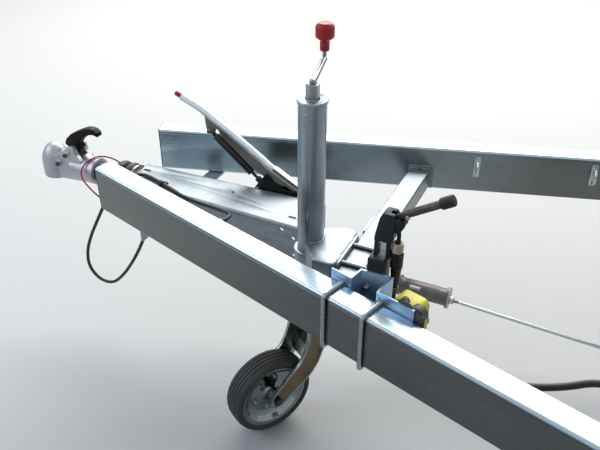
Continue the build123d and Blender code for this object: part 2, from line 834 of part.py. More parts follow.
crank_length = 132.0
crank_heading = 103.7
crank_z = jockey_top + 36
crank_rod = 5.5
crank_way = (cos(radians(crank_heading)), sin(radians(crank_heading)))
knob_x = jockey_x + crank_length * crank_way[0]
knob_y = jockey_y + crank_length * crank_way[1]
with BuildPart() as crank:
    with BuildSketch(level(jockey_top + 4.3, jockey_x, jockey_y)):
        Circle(13.5)
    extrude(amount=27)
    with BuildSketch(level(jockey_top + 30, jockey_x, jockey_y)):
        Circle(9)
    extrude(amount=13)
    with BuildSketch(Plane(origin=(jockey_x, jockey_y, crank_z), x_dir=(0, 0, 1), z_dir=(*crank_way, 0))):
        Circle(crank_rod)
    extrude(amount=crank_length)
    with BuildSketch(level(crank_z - 7, knob_x, knob_y)):
        Circle(8)
    extrude(amount=14)
    with BuildSketch(level(crank_z, knob_x, knob_y)):
        Circle(4.5)
    extrude(amount=44)
finish(crank, "jockey_crank")

with BuildPart() as crank_knob:
    with BuildSketch(upright(knob_y, knob_x)):
        with BuildLine():
            Polyline(
                *[(radius, crank_z + rise) for radius, rise in (
                    (4.8, 19), (9, 19), (10, 23), (10, 39), (14, 43), (20, 47), (20.5, 61), (19, 75),
                    (15, 80), (0, 81), (0, 44.3), (4.8, 44.3),
                )],
                close=True,
            )
        make_face()
    revolve(axis=Axis((knob_x, knob_y, 0), (0, 0, 1)))
finish(crank_knob, "crank_knob")

with BuildPart() as inner_tube:
    with BuildSketch(level(crown_top + 0.3, jockey_x, jockey_y)):
        Circle(inner_radius)
    extrude(amount=inner_length)
    with BuildSketch(level(crown_top + 0.3 + inner_floor, jockey_x, jockey_y)):
        Circle(inner_radius - inner_wall)
    extrude(amount=inner_length, mode=Mode.SUBTRACT)
    with BuildSketch(level(crown_top - crown_thick - 6, jockey_x, jockey_y)):
        Circle(12)
    extrude(amount=20)
    with BuildSketch(level(crown_top - crown_thick - 6, jockey_x, jockey_y)):
        Circle(18)
    extrude(amount=5.7)
finish(inner_tube, "jockey_inner_tube")

leg_outline = [
    (-26, -268), (30, -268), (32, -310), (45, -350), (58, -374), (92, -402), (132, -442),
    (141, -462), (130, -482), (112, -482), (76, -458), (46, -440), (20, -418), (2, -392), (-14, -352),
]
back_outline = [(-26, -268), (-20, -268), (-8, -352), (4, -378), (-2, -386), (-14, -352)]
with BuildPart() as fork:
    with BuildSketch(fork_side(fork_half + 4)):
        with BuildLine():
            Polyline(*leg_outline, close=True)
        make_face()
    extrude(amount=-fork_rim + 4)
    with BuildSketch(fork_side(fork_half + 4)):
        with BuildLine():
            Polyline(*leg_outline, close=True)
        make_face()
        offset(amount=-4, kind=Kind.INTERSECTION)
    extrude(amount=-4, mode=Mode.SUBTRACT)
    mirror(fork.part, about=fork_side(0))
    with BuildSketch(fork_side(-fork_half)):
        with BuildLine():
            Polyline(*back_outline, close=True)
        make_face()
    extrude(amount=2 * fork_half)
    with BuildSketch(Plane(origin=(jockey_x, jockey_y, crown_top), x_dir=(*trail_way, 0), z_dir=(0, 0, 1))):
        with Locations((2, 0)):
            RectangleRounded(56, 2 * fork_half - 2, 5)
        Circle(12 + slide_play, mode=Mode.SUBTRACT)
    extrude(amount=-crown_thick)
    with Locations(fork_side(0).offset(0)):
        with Locations((trail, wheel_centre[2])):
            Cylinder(8.1, 3 * fork_half, mode=Mode.SUBTRACT)
finish(fork, "jockey_fork")

with BuildPart() as wheel_axle:
    with Locations(fork_side(0)):
        with Locations((trail, wheel_centre[2])):
            Cylinder(8, 2 * fork_half + 16)
            with Locations((0, 0, fork_half + 7), (0, 0, -fork_half - 7)):
                Cylinder(11, 6)
finish(wheel_axle, "wheel_axle")

rim_lip = 89.0
rim_seat = 83.0
rim_half = 27.0
with BuildPart() as wheel_rim:
    with BuildSketch(Plane(
        origin=wheel_centre, x_dir=(0, 0, 1), z_dir=(trail_way[0], trail_way[1], 0)
    )):
        with BuildLine():
            Polyline(
                (8.2, -35), (17, -35), (17, -12), (24, -8), (rim_lip - 33, -8), (rim_lip - 19, -14),
                (rim_lip - 10, -rim_half + 2),
                (rim_lip, -rim_half), (rim_lip, -rim_half + 3), (rim_seat, -rim_half + 5),
                (rim_seat, rim_half - 5), (rim_lip, rim_half - 3), (rim_lip, rim_half),
                (rim_lip - 10, rim_half - 2), (rim_lip - 19, 14), (rim_lip - 33, 8), (24, 8), (17, 12),
                (17, 35), (8.2, 35), close=True,
            )
        make_face()
    revolve(axis=Axis(wheel_centre, (trail_way[1], -trail_way[0], 0)))
finish(wheel_rim, "jockey_rim")

with BuildPart() as tyre:
    with BuildSketch(Plane(
        origin=wheel_centre, x_dir=(0, 0, 1), z_dir=(trail_way[0], trail_way[1], 0)
    )):
        with BuildLine():
            Polyline(
                (rim_seat + 0.3, -rim_half + 5.3), (rim_lip + 0.3, -rim_half + 3.2),
                (rim_lip + 0.3, -wheel_width / 2 + 3),
                (rim_lip + 4, -wheel_width / 2), (rim_lip + 10, -wheel_width / 2 + 1),
                (wheel_radius - 3, -wheel_width / 2 + 8), (wheel_radius, -10), (wheel_radius, 10),
                (wheel_radius - 3, wheel_width / 2 - 8), (rim_lip + 10, wheel_width / 2 - 1),
                (rim_lip + 4, wheel_width / 2),
                (rim_lip + 0.3, wheel_width / 2 - 3), (rim_lip + 0.3, rim_half - 3.2),
                (rim_seat + 0.3, rim_half - 5.3),
                close=True,
            )
        make_face()
    revolve(axis=Axis(wheel_centre, (trail_way[1], -trail_way[0], 0)))
finish(tyre, "jockey_tyre")

# Hat bracket on the near beam, with the two U-bolts that clamp it
hat_thick = 4.0
hat_top = 22.0
hat_bottom = -140.0
hat_runs = (722.0, 768.0, 766.0, 826.0, 832.0, 912.0)
hat_notch = (710.0, 754.0)
web_y = -288.0
beam_bolts = (751.0, 843.0)
beam_bolt_radius = 4.5


def web_off(run):
    """Offset from the beam at which the bracket's web keeps to web_y."""
    return (web_y + front_half_gap - run * along[1]) / inward[1]


hat_line = [
    (hat_runs[0], hat_thick / 2),
    (hat_runs[1], hat_thick / 2),
    (hat_runs[2], web_off(hat_runs[2])),
    (hat_runs[3], web_off(hat_runs[3])),
    (hat_runs[4], hat_thick / 2),
    (hat_runs[5], hat_thick / 2),
]
beam_bolt_top = beam_bolt_radius + 0.1
beam_bolt_bottom = -beam_height - beam_bolt_radius - 0.1
with BuildPart() as hat:
    with BuildSketch(near_flat(0, 0, hat_bottom)):
        with BuildLine():
            Polyline(*hat_line)
            offset(amount=hat_thick / 2, kind=Kind.INTERSECTION)
        make_face()
    extrude(amount=hat_top - hat_bottom)
    with BuildSketch(near_side(0, 0, 0)):
        with Locations([(run, z) for run in beam_bolts for z in (beam_bolt_top, beam_bolt_bottom)]):
            Circle(beam_bolt_radius + 0.3)
    extrude(amount=-10, mode=Mode.SUBTRACT)
    with BuildSketch(near_side(0, -1)):
        with Locations(((hat_notch[0] + hat_notch[1]) / 2, (member_top + member_bottom) / 2)):
            Rectangle(hat_notch[1] - hat_notch[0], member_size + 2 * end_plate_rise + 4)
    extrude(amount=-10, mode=Mode.SUBTRACT)
finish(hat, "hat_bracket")

with BuildPart() as beam_u_bolts:
    for run in beam_bolts:
        outer = -beam_width - beam_bolt_radius - 0.1
        bend = near_section(run)
        with BuildLine(bend) as bolt_line:
            FilletPolyline(
                (18, beam_bolt_top), (outer, beam_bolt_top), (outer, beam_bolt_bottom),
                (18, beam_bolt_bottom), radius=7,
            )
        with BuildSketch(Plane(origin=bolt_line.line @ 0, z_dir=bolt_line.line % 0)):
            Circle(beam_bolt_radius)
        sweep(path=bolt_line.line)
        for z in (beam_bolt_top, beam_bolt_bottom):
            with BuildSketch(near_side(run, hat_thick, z)):
                RegularPolygon(8.5, 6)
            extrude(amount=-8)
finish(beam_u_bolts, "beam_u_bolts")

# Hand pump on the bracket's web
pump_y = -262.0
pump_back = web_y + hat_thick / 2
pump_cylinder_x = front_x + 805.0
pump_axle = (front_x + 806.0, 138.0)
pump_slot = 11.0
pump_half = 14.0
with BuildPart() as pump_body:
    with BuildSketch(upright(pump_back, front_x)):
        with Locations((771, -4)):
            RectangleRounded(34, 112, 3)
    extrude(amount=-(pump_y + 16 - pump_back))
    with BuildSketch(upright(pump_y - 9, front_x)):
        with Locations((764, 72), (788, 72)):
            Rectangle(8, 48)
    extrude(amount=-18)
    with BuildSketch(upright(pump_y - pump_half, front_x)):
        with BuildLine():
            Polyline(
                (760, 88), (762, 104), (769, 140), (776, 151), (796, 151), (799, 144), (796, 88), close=True
            )
        head_face = make_face()
        fillet(head_face.vertices(), 4)
    extrude(amount=-2 * pump_half)
    with BuildSketch(upright(pump_y - 10, front_x)):
        with BuildLine():
            Polyline((790, 112), (790, 144), (817, 144), (817, 130), (808, 112), close=True)
        make_face()
    extrude(amount=-20)
    with BuildSketch(upright(pump_y - 9, front_x)):
        with BuildLine():
            Polyline((772, -54), (814, -54), (810, -64), (772, -64), close=True)
        make_face()
    extrude(amount=-18)
    with BuildSketch(upright(pump_y - pump_slot / 2, front_x)):
        with Locations((809, 138)):
            Rectangle(44, 60)
    extrude(amount=-pump_slot, mode=Mode.SUBTRACT)
    with Locations(upright(pump_y, *pump_axle)):
        Cylinder(4, 26)
    with BuildSketch(level(-75, front_x + 769, pump_y)):
        Circle(9)
    extrude(amount=16)
finish(pump_body, "pump_body")

with BuildPart() as pump_cylinder:
    with BuildSketch(Plane(origin=(pump_cylinder_x, pump_y, 0), x_dir=(1, 0, 0), z_dir=(0, -1, 0))):
        with BuildLine():
            Polyline(
                (0, -54), (5, -54), (5, -26), (7, -14), (9, 0), (11, 28), (12.5, 31), (12.5, 54), (8, 54),
                (8, 88), (4, 88), (4, 108), (0, 108), close=True,
            )
        make_face()
    revolve(axis=Axis((pump_cylinder_x, pump_y, 0), (0, 0, 1)))
finish(pump_cylinder, "pump_cylinder")

with BuildPart() as pump_collar:
    with BuildSketch(level(54.1, pump_cylinder_x, pump_y)):
        RegularPolygon(13, 6)
        Circle(8.1, mode=Mode.SUBTRACT)
    extrude(amount=13)
    with BuildSketch(level(67.1, pump_cylinder_x, pump_y)):
        Circle(11)
        Circle(8.1, mode=Mode.SUBTRACT)
    extrude(amount=20)
    fillet(pump_collar.faces().sort_by(Axis.Z)[-1].outer_wire().edges(), 2)
finish(pump_collar, "pump_collar")

lever_end = (front_x + 877.0, 190.8)
arm_start = (front_x + 817.0, 153.6)
grip_radius = 11.5
grip_length = 26.0
arm_way = Vector(lever_end[0] - arm_start[0], 0, lever_end[1] - arm_start[1])
arm_length = arm_way.length


def arm_plane(distance):
    """Plane square to the pump lever, at a distance from the start of its tube."""
    origin = Vector(arm_start[0], pump_y, arm_start[1]) + arm_way.normalized() * distance
    return Plane(origin=origin, x_dir=(0, 1, 0), z_dir=arm_way)


with BuildPart() as pump_lever:
    with Locations(upright(pump_y, *pump_axle)):
        Cylinder(10, pump_slot - 1)
    with BuildSketch(arm_plane(-22)):
        Rectangle(pump_slot - 1, 11)
    extrude(amount=26)
    with BuildSketch(arm_plane(0)):
        Circle(8)
    extrude(amount=arm_length + 12)
    with Locations(upright(pump_y, *pump_axle)):
        Cylinder(4 + slide_play, 40, mode=Mode.SUBTRACT)
finish(pump_lever, "pump_lever")

with BuildPart() as pump_grip:
    with BuildSketch(arm_plane(arm_length)):
        Circle(grip_radius)
    extrude(amount=grip_length)
    with BuildSketch(arm_plane(arm_length)):
        Circle(8.1)
    extrude(amount=12.1, mode=Mode.SUBTRACT)
finish(pump_grip, "pump_grip")

# Wheel chock, stowed upright on the bracket's rear flange
chock_near = 24.0
chock_far = 60.0
chock_front = 850.0
chock_rear = 911.0
chock_top = 9.0
chock_bottom = -150.0
chock_corner = 14.0
stud = (893.0, -44.0)
with BuildPart() as chock:
    with BuildSketch(near_side(0, chock_near)):
        with BuildLine():
            Polyline(
                (chock_rear, chock_bottom), (chock_rear, chock_top), (chock_front, chock_top),
                (chock_front + 4, -34), (chock_front + 18, -90), (chock_rear - 16, chock_bottom), close=True,
            )
        chock_face = make_face()
        fillet(chock_face.vertices().group_by(Axis.Y)[-1], chock_corner)
        with Locations(stud):
            Circle(12, mode=Mode.SUBTRACT)
    extrude(amount=chock_near - chock_far)
finish(chock, "wheel_chock")

boss = (914.0, 6.0)
boss_radius = 17.0
knob = (886.0, 23.0)
with BuildPart() as chock_holder:
    with BuildSketch(near_side(0, hat_thick)):
        with BuildLine():
            Polyline(
                (876, -34), (876, 28), (894, 30), (934, 12), (934, -40), (904, -62), (884, -60), close=True,
            )
        holder_face = make_face()
        fillet(holder_face.vertices(), 5)
    extrude(amount=-4)
    with BuildSketch(near_side(boss[0], hat_thick + 4, boss[1])):
        Circle(boss_radius)
    extrude(amount=-(chock_near - hat_thick - 4))
    with BuildSketch(near_side(knob[0], hat_thick + 4, knob[1])):
        Circle(8)
    extrude(amount=-9)
    with BuildSketch(near_side(stud[0], hat_thick + 4, stud[1])):
        Circle(7)
    extrude(amount=-(chock_far - hat_thick + 4))
    with BuildSketch(near_side(stud[0], chock_far, stud[1])):
        Circle(18)
    extrude(amount=-5)
finish(chock_holder, "chock_holder")

# Lashing eyes on the beams' inner faces
eye_radius = 4.0
eye_top = -24.0
eye_bottom = -66.0
eye_reach = 24.0
eyes_far = (863.0, 1159.0)
eyes_near = (1130.0,)


def lashing_eyes(runs):
    """Bent bars with foot plates, at the runs given, on the near beam."""
    with BuildPart() as eyes:
        for run in runs:
            with BuildSketch(near_side(run, 0, (eye_top + eye_bottom) / 2)):
                RectangleRounded(16, eye_top - eye_bottom + 18, 5)
            extrude(amount=-3)
            with BuildLine(near_section(run)) as eye_line:
                FilletPolyline(
                    (2, eye_top - eye_radius), (eye_reach, eye_top - eye_radius),
                    (eye_reach, eye_bottom + eye_radius), (2, eye_bottom + eye_radius), radius=11,
                )
            with BuildSketch(Plane(origin=eye_line.line @ 0, z_dir=eye_line.line % 0)):
                Circle(eye_radius)
            sweep(path=eye_line.line)
    return eyes


finish(lashing_eyes(eyes_near), "lashing_eye_near")
with BuildPart() as eyes_far_side:
    mirror(lashing_eyes(eyes_far).part, about=Plane.XZ)
finish(eyes_far_side, "lashing_eyes_far")


def cord_tube(points, radius, name):
    """A tube on straight runs joined by arcs as large as the runs allow; prints the radii."""
    bends = []
    for before, corner, after in zip(points, points[1:], points[2:]):
        first = Vector(*corner) - Vector(*before)
        second = Vector(*after) - Vector(*corner)
        turn = first.get_angle(second)
        bends.append(0.45 * min(first.length, second.length) / tan(radians(turn / 2)))
    with BuildPart() as tube:
        with BuildLine() as route:
            FilletPolyline(*points, radius=bends)
        with BuildSketch(Plane(origin=route.line @ 0, z_dir=route.line % 0)):
            Circle(radius)
        sweep(path=route.line)
    length = sum(edge.length for edge in route.edges())
    ratio = tube.part.volume / (pi * radius**2 * length)
    print(f"{name}: length {length:.0f}, least radius {min(bends):.0f}, volume ratio {ratio:.4f}")
    finish(tube, name)


def from_front(points):
    """Points whose X counts from the beams' front, moved to the part's own frame."""
    return [(front_x + x, y, z) for x, y, z in points]


# Black 13-pole lead: from its gland in the near beam, over the housing, down in a loop and up to its plug
lead_radius = 4.5
gland_run = 396.0
gland_up = -14.0
gland_length = 9.0
gland_mouth = near_point(gland_run, gland_length, gland_up)
plug_spot = near_point(72, 24, 0)
plug_bottom = -114.0
plug_top = -66.0
with BuildPart() as lead_gland:
    with BuildSketch(near_side(gland_run, 0, gland_up)):
        Circle(9)
    extrude(amount=-gland_length)
finish(lead_gland, "lead_gland")

lead_route = [
    tuple(gland_mouth),
    tuple(near_point(gland_run, gland_length + 32, gland_up)),
    *from_front([
        (352, -146, -32),
        (320, -122, -48),
        (284, -103, -60),
        (248, -87, -70),
        (214, -76, -75.5),
        (180, -67, -77),
        (150, -57.2, -77),
        (36, -12.5, -77),
        (6, -24, -76),
        (-26, -54, -78),
        (-48, -72, -112),
        (-70, -82, -156),
        (-100, -86, -212),
        (-134, -88, -274),
        (-158, -90, -334),
        (-160, -92, -388),
        (-128, -92, -424),
        (-80, -92, -424),
        (-36, -92, -380),
        (4, -91, -322),
        (38, -90, -262),
        (64, -92, -208),
    ]),
    (plug_spot.X, plug_spot.Y, -158),
    (plug_spot.X, plug_spot.Y, plug_bottom),
]
cord_tube(lead_route, lead_radius, "lead")

with BuildPart() as lead_plug:
    with BuildSketch(level(plug_bottom, plug_spot.X, plug_spot.Y)):
        Circle(9)
    extrude(amount=14)
    with BuildSketch(level(plug_bottom + 14, plug_spot.X, plug_spot.Y)):
        Circle(17)
    extrude(amount=plug_top - plug_bottom - 14)
finish(lead_plug, "lead_plug")

with BuildPart() as plug_holder:
    with BuildSketch(level(plug_top, plug_spot.X, plug_spot.Y)):
        Circle(20)
    extrude(amount=22)
    with BuildSketch(near_flat(72, 0, plug_top)):
        with Locations((0, 6)):
            Rectangle(30, 12)
    extrude(amount=22)
finish(plug_holder, "plug_holder")

clip_x = front_x + 92.0
clip_y = -34.5
with BuildPart() as lead_clip:
    clip_plane = Plane(origin=(clip_x, clip_y, housing_top), x_dir=(44.7, 114, 0), z_dir=(114, -44.7, 0))
    with BuildSketch(clip_plane):
        with Locations((0, 5)):
            Circle(lead_radius + 3)
            Circle(lead_radius + 0.6, mode=Mode.SUBTRACT)
        with Locations((0, -10)):
            Rectangle(40, 20, mode=Mode.SUBTRACT)
        with Locations((11, 1.5)):
            Rectangle(12, 3)
    extrude(amount=6, both=True)
finish(lead_clip, "lead_clip")

# Red breakaway cable, looped round the drawtube, its two ends in the mouth of the housing
breakaway_route = from_front([
    (52, -37, -149),
    (14, -37, -156),
    (-26, -40, -165),
    (-62, -41, -171),
    (-94, -57, -165),
    (-116, -62, -147),
    (-140, -60, -130),
    (-163, -54, -112),
    (-170, -42, -93),
    (-163, -23, -77),
    (-152, 3, -71.5),
    (-137, 27, -78),
    (-119, 45, -93),
    (-96, 55, -116),
    (-80, 52, -140),
    (-57, 39.5, -158),
    (-14, 38, -163),
    (24, 37, -158),
    (54, 37, -152),
])
cord_tube(breakaway_route, 2.2, "breakaway_cable")

# Black hydraulic hose from the pump to its bulkhead union in the rear member
hose_radius = 7.0
union_y = -283.0
union_z = member_top - member_size / 2
union_length = 10.0
with BuildPart() as hose_union:
    with BuildSketch(across(rear_member_x - union_length, union_y, union_z)):
        RegularPolygon(13, 6)
    extrude(amount=union_length)
finish(hose_union, "hose_union")

hose_route = [
    (front_x + 769, pump_y, -75),
    (front_x + 769, pump_y, -120),
    (front_x + 800, pump_y + 2, -156),
    (front_x + 852, pump_y - 3, -172),
    (front_x + 912, pump_y - 14, -170),
    (front_x + 972, pump_y - 32, -158),
    (front_x + 1032, pump_y - 48, -140),
    (front_x + 1092, pump_y - 54, -120),
    (front_x + 1152, pump_y - 44, -102),
    (front_x + 1206, union_y, union_z),
    (rear_member_x - union_length, union_y, union_z),
]
cord_tube(hose_route, hose_radius, "pump_hose")
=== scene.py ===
"""Braked V-drawbar unit of a tipping trailer, dressed for its picture. Metres, +X rearward, +Z up."""
import json
import math

import bpy
from mathutils import Euler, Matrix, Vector

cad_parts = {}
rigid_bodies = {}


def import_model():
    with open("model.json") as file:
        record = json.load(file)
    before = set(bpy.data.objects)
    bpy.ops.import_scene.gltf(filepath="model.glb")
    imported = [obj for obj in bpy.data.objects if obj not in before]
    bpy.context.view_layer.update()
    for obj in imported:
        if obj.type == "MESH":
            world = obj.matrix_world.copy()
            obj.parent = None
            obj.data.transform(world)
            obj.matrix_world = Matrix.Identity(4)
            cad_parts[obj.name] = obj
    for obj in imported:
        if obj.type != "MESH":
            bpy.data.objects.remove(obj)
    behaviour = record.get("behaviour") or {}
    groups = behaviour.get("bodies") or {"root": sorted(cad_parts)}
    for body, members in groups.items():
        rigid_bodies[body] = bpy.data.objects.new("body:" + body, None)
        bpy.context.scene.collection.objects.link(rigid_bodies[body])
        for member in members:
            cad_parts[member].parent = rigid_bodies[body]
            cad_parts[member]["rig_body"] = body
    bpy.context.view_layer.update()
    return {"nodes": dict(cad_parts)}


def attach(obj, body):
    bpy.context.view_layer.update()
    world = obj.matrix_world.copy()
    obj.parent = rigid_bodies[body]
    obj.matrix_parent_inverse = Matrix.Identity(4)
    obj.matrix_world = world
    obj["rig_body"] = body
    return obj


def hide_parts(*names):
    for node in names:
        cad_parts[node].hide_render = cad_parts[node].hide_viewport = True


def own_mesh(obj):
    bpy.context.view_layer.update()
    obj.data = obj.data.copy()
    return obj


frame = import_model()

nodes = frame["nodes"]

# The camera stands at the near side, a little ahead of the jockey wheel, at eye height.
# It looks rearward and down, as the photograph was taken.
camera_place = Vector((-0.2730, -1.3417, 0.8439))
camera_yaw = math.radians(25.10)
camera_pitch = math.radians(33.04)
camera_roll = math.radians(0.24)
sensor = 36.0
focal_pixels = 708.57
picture_width = 600
camera_data = bpy.data.cameras.new("camera")
camera_data.sensor_width = sensor
camera_data.lens = focal_pixels / picture_width * sensor
camera_data.clip_start = 0.05
camera_data.clip_end = 60
camera = bpy.data.objects.new("camera", camera_data)
bpy.context.scene.collection.objects.link(camera)
look = Vector((
    -math.sin(camera_yaw) * math.cos(camera_pitch),
    math.cos(camera_yaw) * math.cos(camera_pitch),
    -math.sin(camera_pitch),
))
camera.rotation_mode = "QUATERNION"
camera.rotation_quaternion = look.to_track_quat("-Z", "Y") @ Euler((0, 0, camera_roll)).to_quaternion()
camera.location = camera_place
bpy.context.scene.camera = camera
bpy.context.scene.view_settings.view_transform = "Standard"


# The studio: a pale floor at the height on which the jockey wheel stands, a soft main light from
# the far side, which the tops of the beams mirror, and weak ones from the near side and the rear.
def linear(text):
    """Shader colour from an sRGB hex value."""
    levels = [int(text[i:i + 2], 16) / 255 for i in (0, 2, 4)]
    return [c / 12.92 if c <= 0.04045 else ((c + 0.055) / 1.055) ** 2.4 for c in levels] + [1.0]


def add(tree, kind, values=None, feeds=None, ramp=(), **settings):
    """Add a node: its settings, the values and feeds of its sockets, and its ramp's places and colours."""
    made = tree.nodes.new(kind)
    for name, value in settings.items():
        setattr(made, name, value)
    for socket, value in (values or {}).items():
        made.inputs[socket].default_value = value
    for socket, source in (feeds or {}).items():
        tree.links.new(source, made.inputs[socket])
    for number, (share, colour) in enumerate(ramp):
        made.color_ramp.elements[number].position = share
        made.color_ramp.elements[number].color = colour
    return made


def blank_material(name):
    """A material with nothing but its output; returns it, its tree and the output node."""
    made = bpy.data.materials.new(name)
    made.use_nodes = True
    made.node_tree.nodes.clear()
    return made, made.node_tree, add(made.node_tree, "ShaderNodeOutputMaterial")


floor_z = -0.570
floor_half = 30.0
world = bpy.data.worlds.new("studio")
world.use_nodes = True
bpy.context.scene.world = world
sky = world.node_tree
sky.nodes.clear()
rays = add(sky, "ShaderNodeLightPath")
seen = add(sky, "ShaderNodeMath", feeds={0: rays.outputs["Is Camera Ray"], 1: rays.outputs["Is Glossy Ray"]},
           operation="MAXIMUM")
fill = add(sky, "ShaderNodeBackground", {"Color": linear("E4EBF4"), "Strength": 0.36})
shown = add(sky, "ShaderNodeBackground", {"Color": linear("EEF3F8"), "Strength": 0.8})
both = add(sky, "ShaderNodeMixShader", feeds={0: seen.outputs[0], 1: fill.outputs[0], 2: shown.outputs[0]})
add(sky, "ShaderNodeOutputWorld", feeds={0: both.outputs[0]})

bpy.ops.object.select_all(action="DESELECT")
bpy.ops.mesh.primitive_plane_add(size=2 * floor_half, location=(-0.6, 0, floor_z))
floor = bpy.context.active_object
floor.name = "studio_floor"
floor_paint, tree, output = blank_material("floor_paint")
shade = add(tree, "ShaderNodeBsdfPrincipled", {"Base Color": linear("C9CBCC"), "Roughness": 0.9})
tree.links.new(shade.outputs[0], output.inputs[0])
floor.data.materials.append(floor_paint)

lit_spot = Vector((-0.75, 0, -0.1))
for name, place, wide, high, power, tint in (
    ("main_light", (-1.8, 3.7, 3.1), 6.4, 3.4, 410, "FFFCF6"),
    ("near_light", (-3.8, -1.7, 1.9), 2.0, 2.0, 42, "E6EFFF"),
    ("rear_light", (2.8, -1.0, 2.8), 2.0, 2.0, 5, "F0F5FF"),
):
    lamp_data = bpy.data.lights.new(name, "AREA")
    lamp_data.shape = "RECTANGLE"
    lamp_data.size = wide
    lamp_data.size_y = high
    lamp_data.energy = power
    lamp_data.color = linear(tint)[:3]
    lamp = bpy.data.objects.new(name, lamp_data)
    lamp.location = place
    lamp.rotation_mode = "QUATERNION"
    lamp.rotation_quaternion = (lit_spot - lamp.location).to_track_quat("-Z", "Y")
    bpy.context.scene.collection.objects.link(lamp)


# The two beams: aluminium box sections as they came from the extrusion die, each with a shallow
# groove near its top edges. Bare mill finish, nearly a mirror along its length, with drawing lines.
# The tops get a paler copy of the metal, painted light for the main light's glare, and the sides
# darker tones, painted shade; the far beam's side fades at the front into a pale blue painted reflection.
front_x = -1.378
beam_turn = math.radians(16.88)
beam_front_gap = 0.101
# Where the flat front colour, for the far beam a painted reflection, is whole and where it has faded out.
painted_reflection_until_x, painted_reflection_gone_x = -1.35, -0.39


def spot(x, y, z):
    """A place in metres from millimetres, with X counted from the beams' front ends."""
    return Vector((front_x + x / 1000, y / 1000, z / 1000))


def beside_beam(run, off, up):
    """A place in metres by the near beam: run along it, off inward from its inner face, up from its top."""
    return Vector((
        front_x + run * math.cos(beam_turn) + off * math.sin(beam_turn),
        -beam_front_gap - run * math.sin(beam_turn) + off * math.cos(beam_turn),
        up,
    ))


def choose(piece):
    """Select one object alone and make it active."""
    bpy.ops.object.select_all(action="DESELECT")
    piece.select_set(True)
    bpy.context.view_layer.objects.active = piece


def paint(piece, material):
    """Give every face of an object one material."""
    piece.data.materials.clear()
    piece.data.materials.append(material)


def paint_some(piece, material, chosen):
    """Give the faces that a test picks a second material."""
    piece.data.materials.append(material)
    for face in piece.data.polygons:
        face.material_index = int(chosen(face))


def round_edges(piece, width, steps=2, sharper=38):
    """Round off the edges of the active piece that turn by more than so many degrees."""
    bevel = piece.modifiers.new("edge", "BEVEL")
    bevel.width = width
    bevel.segments = steps
    bevel.limit_method = "ANGLE"
    bevel.angle_limit = math.radians(sharper)
    bpy.ops.object.modifier_apply(modifier="edge")


def taken_up(node, material, edge=0.0005):
    """A merged copy of a CAD node that stands for it, with its edges rounded off to catch the light."""
    choose(nodes[node])
    bpy.ops.object.duplicate()
    piece = bpy.context.active_object
    piece.name = f"{node}_shown"
    bpy.ops.object.mode_set(mode="EDIT")
    bpy.ops.mesh.select_all(action="SELECT")
    bpy.ops.mesh.remove_doubles(threshold=0.00001)
    bpy.ops.mesh.customdata_custom_splitnormals_clear()
    bpy.ops.mesh.dissolve_limited(angle_limit=math.radians(1))
    bpy.ops.object.mode_set(mode="OBJECT")
    if edge:
        round_edges(piece, edge)
    bpy.ops.object.shade_smooth_by_angle(angle=math.radians(32))
    paint(piece, material)
    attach(piece, nodes[node]["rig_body"])
    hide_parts(node)
    return piece


def extruded_aluminium(name, turn, dark, light, front_painted_reflection=None):
    """Mill-finish aluminium, its drawing lines turned to run along one beam; towards the front it fades into a flat
    colour, a painted reflection where one is given.

    The die's lines are 0.2 mm apart. They are drawn 2.4 mm apart, or the picture wouldn't show them,
    and about 0.7 m long, under smears 60 mm wide and 200 mm long.
    """
    made, tree, output = blank_material(name)
    place = add(tree, "ShaderNodeTexCoord").outputs["Object"]
    lengthwise = add(tree, "ShaderNodeMapping", {"Rotation": (0, 0, turn)}, {0: place})
    lines = add(tree, "ShaderNodeMapping", {"Scale": (1.5, 420, 420)}, {0: lengthwise.outputs[0]})
    drawn = add(tree, "ShaderNodeTexNoise", {"Scale": 1.0, "Detail": 5.0, "Roughness": 0.65},
                {0: lines.outputs[0]})
    smears = add(tree, "ShaderNodeMapping", {"Scale": (5, 16, 16)}, {0: lengthwise.outputs[0]})
    clouds = add(tree, "ShaderNodeTexNoise", {"Scale": 1.0, "Detail": 6.0, "Distortion": 0.5},
                 {0: smears.outputs[0]})
    mixed = add(tree, "ShaderNodeMix", {"Factor": 0.55}, {2: drawn.outputs[0], 3: clouds.outputs[0]})
    tone = add(tree, "ShaderNodeValToRGB", feeds={0: mixed.outputs[0]},
               ramp=((0.35, linear(dark)), (0.65, linear(light))))
    along = add(tree, "ShaderNodeSeparateXYZ", feeds={0: place})
    # Fades from the flat front colour, a painted reflection on the far beam, into the metal's own tones.
    painted_reflection_fade = add(tree, "ShaderNodeMapRange", {1: painted_reflection_until_x, 2: painted_reflection_gone_x}, {0: along.outputs[0]})
    colour = add(tree, "ShaderNodeMix", {6: linear(front_painted_reflection or light)}, {0: painted_reflection_fade.outputs[0], 7: tone.outputs[0]},
                 data_type="RGBA")
    gloss = add(tree, "ShaderNodeMapRange", {1: 0.35, 2: 0.65, 3: 0.21, 4: 0.29}, {0: mixed.outputs[0]})
    relief = add(tree, "ShaderNodeBump", {"Strength": 0.06, "Distance": 0.0002}, {"Height": drawn.outputs[0]})
    shade = add(tree, "ShaderNodeBsdfPrincipled", {"Metallic": 1.0},
                {"Base Color": colour.outputs[2], "Roughness": gloss.outputs[0], "Normal": relief.outputs[0]})
    tree.links.new(shade.outputs[0], output.inputs[0])
    return made


# The sides' dark tones are painted shade; the tops' paler copy below is painted light.
near_aluminium = extruded_aluminium("extruded_aluminium_near", beam_turn, "616665", "6C7170")
far_aluminium = extruded_aluminium("extruded_aluminium_far", -beam_turn, "6F7270", "7A7D7B", "D0E4EE")
tops_painted_light = extruded_aluminium("aluminium_tops_painted_light", beam_turn, "A9BCC8", "B9CAD5")
for node, metal in (("beam_near", near_aluminium), ("beam_far", far_aluminium)):
    paint_some(taken_up(node, metal, edge=0), tops_painted_light, lambda face: face.normal.z > 0.1)


